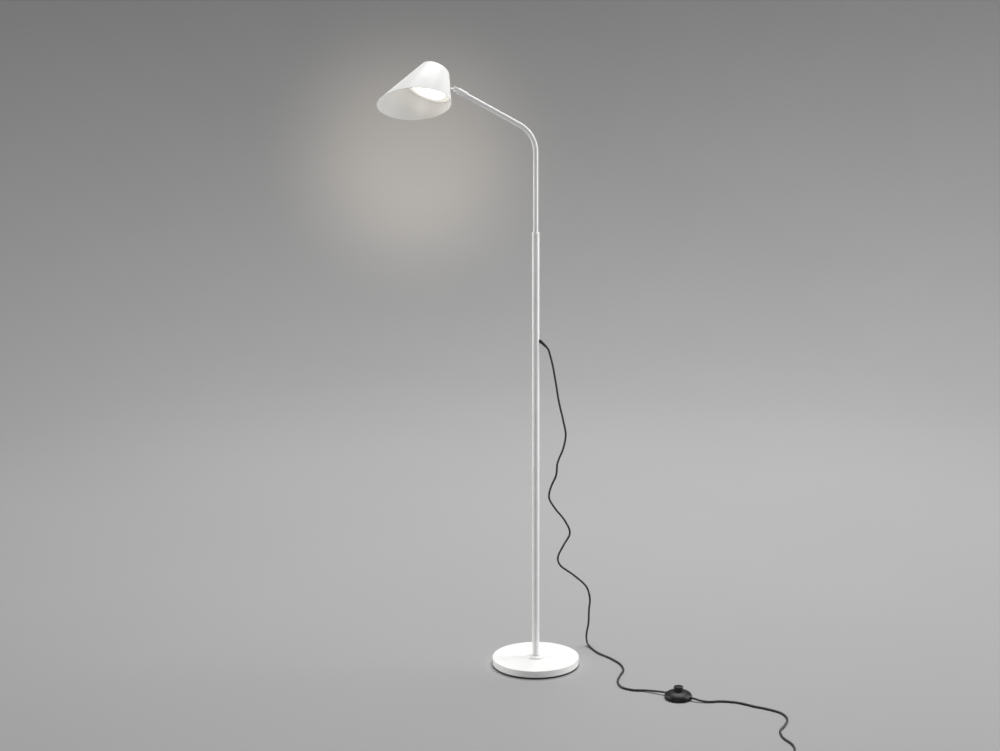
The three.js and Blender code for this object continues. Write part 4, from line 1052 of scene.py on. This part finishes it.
def make_diffuser():
    curve = (LENS_RADIUS**2 + LENS_CROWN**2) / (2 * LENS_CROWN)
    sweep = degrees(asin(LENS_RADIUS / curve))
    dome = arc(0, LENS_FACE + LENS_CROWN - curve, curve, 90 - sweep, 90, 12)
    outline = [(0, LENS_STATION), (LENS_RADIUS, LENS_STATION), *dome]
    outline[-1] = (0, LENS_FACE + LENS_CROWN)
    return soften(place(turned("opal_dome", outline), CONE_PLACE), 35)


def make_bezel():
    inner = LENS_RADIUS + 1.8
    seat = LENS_STATION - 0.3
    lip = LENS_FACE + 0.3
    outer = inner + 1.2
    trim = (lip - SHADE_WALL / sin(HALF_ANGLE)) * tan(HALF_ANGLE) - 0.5
    outline = [
        (inner, seat - 5), (outer, seat - 5), (outer, lip - 0.9), (trim - 0.4, lip - 0.9),
        *arc(trim - 0.4, lip - 0.4, 0.5, -90, 80, 6), (outer, lip + 0.9),
        (LENS_RADIUS - 1.1, lip + 1.2), *arc(LENS_RADIUS - 1.1, lip + 0.8, 0.4, 90, 180, 4)[1:],
        (LENS_RADIUS - 1.5, lip + 0.2), (LENS_RADIUS + 0.5, lip), (inner, lip), (inner, seat - 5),
    ]
    return soften(place(turned("diffuser_ring", outline), CONE_PLACE), 35)


def make_reflector():
    foot = 31
    back = 108.3
    step = back + 14
    seat = LENS_STATION - 0.3
    outline = [
        (foot, back), (foot + 1.5, back), (foot + 5.5, step), (LENS_RADIUS - 1, seat - 2),
        (LENS_RADIUS + 1.5, seat - 2), (LENS_RADIUS + 1.5, seat), (LENS_RADIUS - 3, seat),
        (foot + 4, step), (foot, back),
    ]
    return soften(place(turned("light_reflector", outline), CONE_PLACE), 25)


dress(make_diffuser(), "head", "diffuser")
ring = dress(make_bezel(), "head", "bezel_ring")
# The ring wears the finish with the painted glow, which lifts the shade round the lens.
ring.data.materials[0] = painted_glow_ring
dress(make_reflector(), "head", "reflector")
print("diffuser, ring and reflector")

# %% [markdown]
# ## The cord's gland
#
# The gland turns the cord down as it leaves the mast. Its tapering tail is cut by rings, which
# let it bend evenly. A ball joins tail and neck, so the elbow is smooth from every side.

# %% Gland
RELIEF_RADIUS = 4.5
RELIEF_TIP = 3.4


def make_gland():
    outline = [(0, 0), (RELIEF_RADIUS, 0)]
    rings = 6
    pitch = 2.6
    for number in range(rings):
        start = 4 + number * pitch
        width = RELIEF_RADIUS + (RELIEF_TIP - RELIEF_RADIUS) * start / RELIEF_LENGTH
        outline += [(width, start), (width - 0.6, start + 0.3), (width - 0.65, start + 0.9)]
        outline += [(width - 0.1, start + 1.2)]
    outline += [*arc(RELIEF_TIP - 0.4, RELIEF_LENGTH - 0.4, 0.4, 0, 90, 4), (0, RELIEF_LENGTH)]
    tail = turned("cord_gland", outline, 48)
    place(tail, Matrix.Translation((RELIEF_ELBOW * MM, 0, 0))
          @ Matrix.Rotation(pi / 2 + RELIEF_DROP, 4, "Y"))
    bpy.ops.object.select_all(action="DESELECT")
    bpy.ops.mesh.primitive_uv_sphere_add(
        segments=48, ring_count=24, radius=RELIEF_RADIUS * MM, location=(RELIEF_ELBOW * MM, 0, 0))
    ball = place(start_piece("gland_elbow"), Matrix.Identity(4))
    neck = place(rod("gland_neck", RELIEF_RADIUS, 5.6, RELIEF_ELBOW, 48), SIDEWAYS)
    rim = rounded_rod("gland_rim", RELIEF_RADIUS + 0.9, 9.5, 10.9, 0.35, 48)
    carve(tail, ball, neck, place(rim, SIDEWAYS), operation="UNION")
    place(tail, Matrix.Translation((0, 0, CORD_EXIT_HEIGHT)))
    print("gland:", len(tail.data.polygons), "faces")
    return soften(tail, 32)


gland = dress(make_gland(), "stand", "cord_relief")

# %% [markdown]
# ## The foot switch
#
# The switch is a low round box to be pressed by a foot. The dome of its cover is part of an
# ellipse, drawn by a formula and spun. The tray below it has a chamfered foot and a rubber ring.
# The big button stands well proud and its edge is soft.

# %% Switch cover and tray
SWITCH_PLACE = Matrix.Translation((SWITCH_CENTRE.x, SWITCH_CENTRE.y, 0))
SWITCH_PLACE = SWITCH_PLACE @ Matrix.Rotation(SWITCH_TURN, 4, "Z")
SWITCH_RADIUS = 35
SWITCH_SEAM = 6
SWITCH_TOP = 21
SWITCH_WALL = 2
BUTTON_HOLE = 12.5
SWITCH_FOOT = 1.2


def dome_section(inset, steps):
    width = SWITCH_RADIUS - inset
    height = SWITCH_TOP - SWITCH_SEAM - inset
    last = acos(BUTTON_HOLE / width)
    angles = [last * step / steps for step in range(steps + 1)]
    seam = SWITCH_SEAM + 0.3
    return [(width * cos(angle), seam + height * sin(angle)) for angle in angles]


def cord_ways():
    ways = []
    for side in (0, pi):
        way = place(rod("cord_way", 4.1, SWITCH_RADIUS - 8, SWITCH_RADIUS + 5, 48), SIDEWAYS)
        place(way, Matrix.Translation((0, 0, SWITCH_CORD_HEIGHT * MM)))
        ways.append(place(way, Matrix.Rotation(side, 4, "Z")))
    return ways


def make_switch_cover():
    outline = dome_section(0, 24) + dome_section(SWITCH_WALL, 18)[::-1]
    outline.append((SWITCH_RADIUS, SWITCH_SEAM + 0.3))
    cover = carve(turned("switch_dome", outline, 128), *cord_ways())
    print("switch cover:", len(cover.data.polygons), "faces")
    return soften(place(cover, SWITCH_PLACE), 35)


def make_switch_tray():
    width = SWITCH_RADIUS
    chamfer = 1.5
    outline = [
        (0, SWITCH_FOOT), (width - chamfer, SWITCH_FOOT),
        *arc(width - chamfer, SWITCH_FOOT + chamfer, chamfer, -90, 0, 5)[1:],
        (width, SWITCH_SEAM - 0.3), (width - 0.3, SWITCH_SEAM),
        (width - SWITCH_WALL, SWITCH_SEAM), (width - SWITCH_WALL, SWITCH_FOOT + SWITCH_WALL),
        (0, SWITCH_FOOT + SWITCH_WALL),
    ]
    tray = carve(turned("switch_tray", outline, 128), *cord_ways())
    holes = []
    for side in (22, -22):
        hole = rod("screw_hole", 1.7, -1, 12, 32)
        holes.append(place(hole, Matrix.Translation((0, side * MM, 0))))
    return soften(place(carve(tray, *holes), SWITCH_PLACE), 35)


dress(make_switch_cover(), "stand", "switch_cover")
dress(make_switch_tray(), "stand", "switch_base")

# %% Button, rubber ring and collars
BUTTON_RADIUS = 12
BUTTON_TOP = SWITCH_TOP + 11
BUTTON_FLANGE_TOP = 17


def make_button():
    flange_foot = BUTTON_FLANGE_TOP - 2
    edge = 2.5
    outline = [
        (0, BUTTON_TOP - 3), (4, BUTTON_TOP - 3), (4, flange_foot),
        (BUTTON_RADIUS + 3, flange_foot), (BUTTON_RADIUS + 3, BUTTON_FLANGE_TOP),
        (BUTTON_RADIUS, BUTTON_FLANGE_TOP),
        *arc(BUTTON_RADIUS - edge, BUTTON_TOP - edge, edge, 0, 90, 10),
        *arc(0, BUTTON_TOP - 75, 75.6, 84, 90, 5),
    ]
    outline[-1] = (0, BUTTON_TOP + 0.6)
    return soften(place(turned("switch_push_button", outline), SWITCH_PLACE), 35)


def make_rubber_ring():
    inner, outer = SWITCH_RADIUS - 8, SWITCH_RADIUS - 2.5
    outline = [
        (inner, SWITCH_FOOT), (inner, 0.3), (inner + 0.3, 0), (outer - 0.3, 0), (outer, 0.3),
        (outer, SWITCH_FOOT), (inner, SWITCH_FOOT),
    ]
    return soften(place(turned("switch_rubber_ring", outline), SWITCH_PLACE), 35)


def make_collar_at(name, side):
    start, end = SWITCH_RADIUS - 4, SWITCH_RADIUS + 2
    bore, outer = CORD_RADIUS / MM - 0.3, CORD_RADIUS / MM + 1.2
    outline = [
        (bore, start), (outer, start), *arc(outer - 0.7, end - 0.7, 0.7, 0, 90, 5),
        (bore, end), (bore, start),
    ]
    collar = place(turned(name, outline, 48), SIDEWAYS)
    place(collar, Matrix.Translation((0, 0, SWITCH_CORD_HEIGHT * MM)))
    return soften(place(collar, SWITCH_PLACE @ Matrix.Rotation(side, 4, "Z")), 35)


push_button = dress(make_button(), "button", "switch_button")
rubber_ring = dress(make_rubber_ring(), "stand", "switch_foot")
collar_out = dress(make_collar_at("switch_collar_out", 0), "stand", "switch_collar_1")
collar_in = dress(make_collar_at("switch_collar_in", pi), "stand", "switch_collar_2")
print("button:", len(push_button.data.polygons), "faces")

# %% [markdown]
# ## Coil tie and plug
#
# The tie is a strip of soft strap round the bundle: a cube without its open ends, with rounded
# corners and a Solidify wall. The plug is a flat two-pin one. Its body starts as a cube, narrows
# to the cord, and is bevelled all round. A ringed sleeve protects the cord where it enters.

# %% Coil tie
def make_tie():
    low, high = (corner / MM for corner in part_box("coil_tie"))
    tie = block("coil_strap", high - low, (high + low) / 2)
    edit(tie)
    pick(tie, "edges", lambda edge: abs((edge.verts[0].co - edge.verts[1].co).x) > MM)
    bpy.ops.mesh.bevel(offset=2.4 * MM, segments=6, affect="EDGES")
    pick(tie, "faces", lambda face: abs(face.normal.x) > 0.9)
    bpy.ops.mesh.delete(type="FACE")
    leave()
    apply_modifier(tie, "SOLIDIFY", thickness=0.8 * MM, offset=-1)
    print("tie:", len(tie.data.polygons), "faces")
    return soften(tie, 35)


tie = dress(make_tie(), "stand", "coil_tie")

# %% Plug sleeve, body and pins
PLUG_PLACE = Matrix.Translation((coil_side + Vector((PLUG_START, 0, PLUG_MIDDLE_HEIGHT))) * MM)
PLUG_SLEEVE = 22
PLUG_LENGTH = 36
PLUG_WIDTH = 26


def make_plug_sleeve():
    tip, root = CORD_RADIUS / MM + 0.8, CORD_RADIUS / MM + 2.8
    outline = [(0, 0), (tip - 0.4, 0), (tip, 0.4)]
    for number in range(6):
        start = 2 + number * 3
        width = tip + (root - tip) * start / PLUG_SLEEVE
        outline += [(width, start), (width - 0.7, start + 0.3), (width - 0.6, start + 1.1)]
        outline += [(width + 0.1, start + 1.4)]
    outline += [(root, PLUG_SLEEVE), (0, PLUG_SLEEVE)]
    return soften(place(turned("plug_ringed_sleeve", outline, 48), PLUG_PLACE @ SIDEWAYS), 32)


def make_plug_body():
    start = PLUG_SLEEVE + 0.3
    middle = (start + PLUG_LENGTH / 2, 0, 0)
    body = block("plug_flat_body", (PLUG_LENGTH, PLUG_WIDTH, 13.8), middle)
    edit(body)
    bpy.ops.mesh.select_all(action="SELECT")
    waist = ((start + PLUG_LENGTH / 2) * MM, 0, 0)
    bpy.ops.mesh.bisect(plane_co=waist, plane_no=(1, 0, 0))
    pick(body, "faces", lambda face: face.normal.x < -0.9)
    bpy.ops.transform.resize(value=(1, 0.5, 0.86))
    pick(body, "edges", lambda edge: edge.calc_face_angle(0) > radians(40))
    bpy.ops.mesh.bevel(offset=1.8 * MM, segments=5, affect="EDGES")
    leave()
    return soften(place(body, PLUG_PLACE), 32)


# %% [markdown]
# A flat plug's pins are bare only at their tips. The half next to the body wears a black sleeve,
# so each pin carries a second finish on the faces near the body.

# %% Pins, and the plug put together
def make_pin_of_plug(name, side):
    start = PLUG_SLEEVE + PLUG_LENGTH + 0.6
    outline = [
        (0, start), (2, start), (2, start + 10), (1.85, start + 10.2), (1.85, start + 17.8),
        *arc(0.85, start + 18, 1, 0, 90, 6), (0, start + 19),
    ]
    pin = place(turned(name, outline, 48), SIDEWAYS)
    return soften(place(pin, PLUG_PLACE @ Matrix.Translation((0, side * MM, 0))), 32)


PIN_SLEEVE = 10.1 * MM


def sleeve_half(pin):
    pin.data.materials.append(FINISHES["black_plastic"])
    root = pin.bound_box[0][0]
    for face in pin.data.polygons:
        if face.center.x < root + PIN_SLEEVE:
            face.material_index = 1


plug_sleeve = dress(make_plug_sleeve(), "stand", "plug_sleeve")
plug_body = dress(make_plug_body(), "stand", "plug_body")
for number, side in ((1, 9.5), (2, -9.5)):
    pin = dress(make_pin_of_plug(f"plug_round_pin_{number}", side), "stand", f"plug_pin_{number}")
    sleeve_half(pin)
print("plug body:", len(plug_body.data.polygons), "faces")

# %% [markdown]
#
# The cord has two stretches. The first starts at the gland and ends in the switch. The second
# starts at the switch and ends in the plug. Here the switch's new pieces and three of the model's
# own parts are gathered in a list.

# %% Gather the switch's pieces
switch_pieces = [bpy.data.objects["switch_dome"], bpy.data.objects["switch_tray"], rubber_ring]
switch_pieces += [push_button, collar_out, collar_in]
for name in ("switch_contacts", "switch_screw_1", "switch_screw_2"):
    switch_pieces.append(frame["nodes"][name])

# %% [markdown]
# ## Springs and leads inside
#
# Inside the mast the lead is wound like a spring, so that it follows the arm tube up and down, and
# the button rests on a wire spring. Both are helices, worked out by a formula and made into
# meshes. The lead through the arm follows the tube's own bend.

# %% Helices
def helix(name, centre, radius, wire, low, high, turns):
    steps = int(turns * 24)
    points = []
    for step in range(steps + 1):
        angle = tau * turns * step / steps
        height = low + wire + (high - low - 2 * wire) * step / steps
        offset = Vector((radius * cos(angle), radius * sin(angle), height))
        points.append((Vector((centre.x, centre.y, 0)) / MM + offset) * MM)
    piece = round_curve(name, points, wire * MM, 3)
    choose(piece)
    bpy.ops.object.convert(target="MESH")
    return bpy.context.object


def make_coiled_lead():
    low, high = (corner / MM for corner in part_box("coiled_lead"))
    return helix("mast_coiled_lead", Vector((0, 0, 0)), 4.4, 1.5, low.z, high.z, 12)


def make_button_spring():
    low, high = (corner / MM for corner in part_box("button_spring"))
    return helix("button_wire_spring", SWITCH_CENTRE, 2.9, 0.45, low.z, high.z, 7)


coiled_lead = dress(make_coiled_lead(), "stand", "coiled_lead")
button_spring = dress(make_button_spring(), "stand", "button_spring")
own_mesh(coiled_lead)
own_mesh(button_spring)
print("lead and spring:", len(coiled_lead.data.polygons), len(button_spring.data.polygons))

# %% Lead through the arm
def make_arm_lead():
    bend_start = ARM_CORNER.z - BEND_TANGENT
    points = [Vector((0, 0, ARM_FOOT)), Vector((0, 0, bend_start - 40 * MM))]
    for step in range(25):
        angle = BEND_TURN * step / 24
        x = -BEND_RADIUS * MM * (1 - cos(angle))
        points.append(Vector((x, 0, bend_start + BEND_RADIUS * MM * sin(angle))))
    points.append(ARM_CORNER + ARM_ALONG * (ARM_LENGTH + SLEEVE_SEAM + SLEEVE_SOCKET - 2) * MM)
    return round_curve("arm_inner_lead", points, CORD_RADIUS)


dress(make_arm_lead(), "arm", "arm_lead")

# %% [markdown]
# ## The parts that stay as they are
#
# The hidden fixings of the model already have their right shape, so they keep it and only get
# their finish.

# %% Finish the model's own parts
kept = [node for node in frame["nodes"].values() if not node.hide_render]
for node in kept:
    node.data.materials.clear()
    node.data.materials.append(FINISHES[slot_of[node.name]])
print(len(kept), "parts kept from the model")

# %% [markdown]
# ## The studio
#
# A product studio has a floor that curves up into its wall, so that no line crosses the picture.
# This one is a wide round bowl, turned on the same lathe, and so it looks the same from every
# side. It is much wider than the camera's circle round the lamp.

# %% Studio floor
BOWL_RADIUS = 9000
BOWL_CURVE = 5500
BOWL_HEIGHT = 9000
bowl_section = [(0, 0), (300, 0), (1000, 0), (2200, 0)]
bowl_section += arc(BOWL_RADIUS - BOWL_CURVE, BOWL_CURVE, BOWL_CURVE, -90, 0, 24)
bowl_section.append((BOWL_RADIUS, BOWL_HEIGHT))
studio_floor = turned("studio_floor", bowl_section[::-1], 128)
if studio_floor.data.polygons[-1].normal.z < 0:
    studio_floor.data.flip_normals()
soften(studio_floor, 60)
studio_grey = new_finish("studio_grey", (0.42, 0.42, 0.42), 0.75)
tint(studio_grey, grain(studio_grey, 900 * MM, 2), (0.415, 0.415, 0.415), (0.425, 0.425, 0.425))
press(studio_grey, grain(studio_grey, 2 * MM, 2), 0.02 * MM)
studio_floor.data.materials.append(studio_grey)
print("studio floor:", len(studio_floor.data.polygons), "faces")

# %% [markdown]
# Two tall soft boxes stand left and right of the lamp, a little behind it, and draw the bright
# lines down both edges of the mast. A low one in front fills the side that faces the camera. Light
# linking keeps these three off the floor, where they would leave bright patches. A wide box
# overhead lights the base and the floor. The lamps themselves stay out of the picture: they are
# hidden from the camera and only their light shows. A small warm lamp throws the shade's glow on
# the wall behind. It belongs to the studio, so it stays where it is when the head moves.

# %% Lights
AIR_LIGHT = 0.22
GLOW_COLOUR = (1.0, 0.86, 0.70)


def hang(name, light, place_at, look_at):
    lamp = bpy.data.objects.new(name, light)
    lamp.location = place_at
    lamp.rotation_euler = (Vector(look_at) - Vector(place_at)).to_track_quat("-Z", "Y").to_euler()
    bpy.context.scene.collection.objects.link(lamp)
    return lamp


def soft_box(name, place_at, look_at, width, height, power):
    light = bpy.data.lights.new(name, "AREA")
    light.shape = "RECTANGLE"
    light.size = width
    light.size_y = height
    light.energy = power
    lamp = hang(name, light, place_at, look_at)
    lamp.visible_camera = False
    return lamp


def warm_glow(name, place_at, look_at, angle, power):
    light = bpy.data.lights.new(name, "SPOT")
    light.spot_size = radians(angle)
    light.spot_blend = 1.0
    light.energy = power
    light.color = GLOW_COLOUR
    light.shadow_soft_size = 0.3
    return hang(name, light, place_at, look_at)


side_boxes = [
    soft_box("left_soft_box", (-2.4, 0.35, 1.2), (0, 0, 0.9), 1.2, 2.6, 56),
    soft_box("right_soft_box", (2.4, 0.2, 1.2), (0, 0, 0.9), 1.2, 2.6, 70),
    soft_box("front_soft_box", (-0.6, -4.4, 0.6), (-0.1, 0, 1.0), 2.4, 1.4, 44),
]
shielded = bpy.data.collections.new("shielded_from_side_light")
shielded.objects.link(studio_floor)
shielded.collection_objects[0].light_linking.link_state = "EXCLUDE"
for box in side_boxes:
    box.light_linking.receiver_collection = shielded
soft_box("overhead_soft_box", (0.8, 2.1, 5.7), (0.8, 0.3, 0), 4.2, 4.2, 385)
warm_glow("shade_glow", (-0.35, 0.5, 1.40), (-0.74, 6.3, 0.86), 15.5, 900)

world = bpy.data.worlds.new("studio_air")
bpy.context.scene.world = world
world.use_nodes = True
world.node_tree.nodes["Background"].inputs["Color"].default_value = (1, 1, 1, 1)
world.node_tree.nodes["Background"].inputs["Strength"].default_value = AIR_LIGHT
bpy.context.scene.view_settings.view_transform = "Standard"
print("lights set")
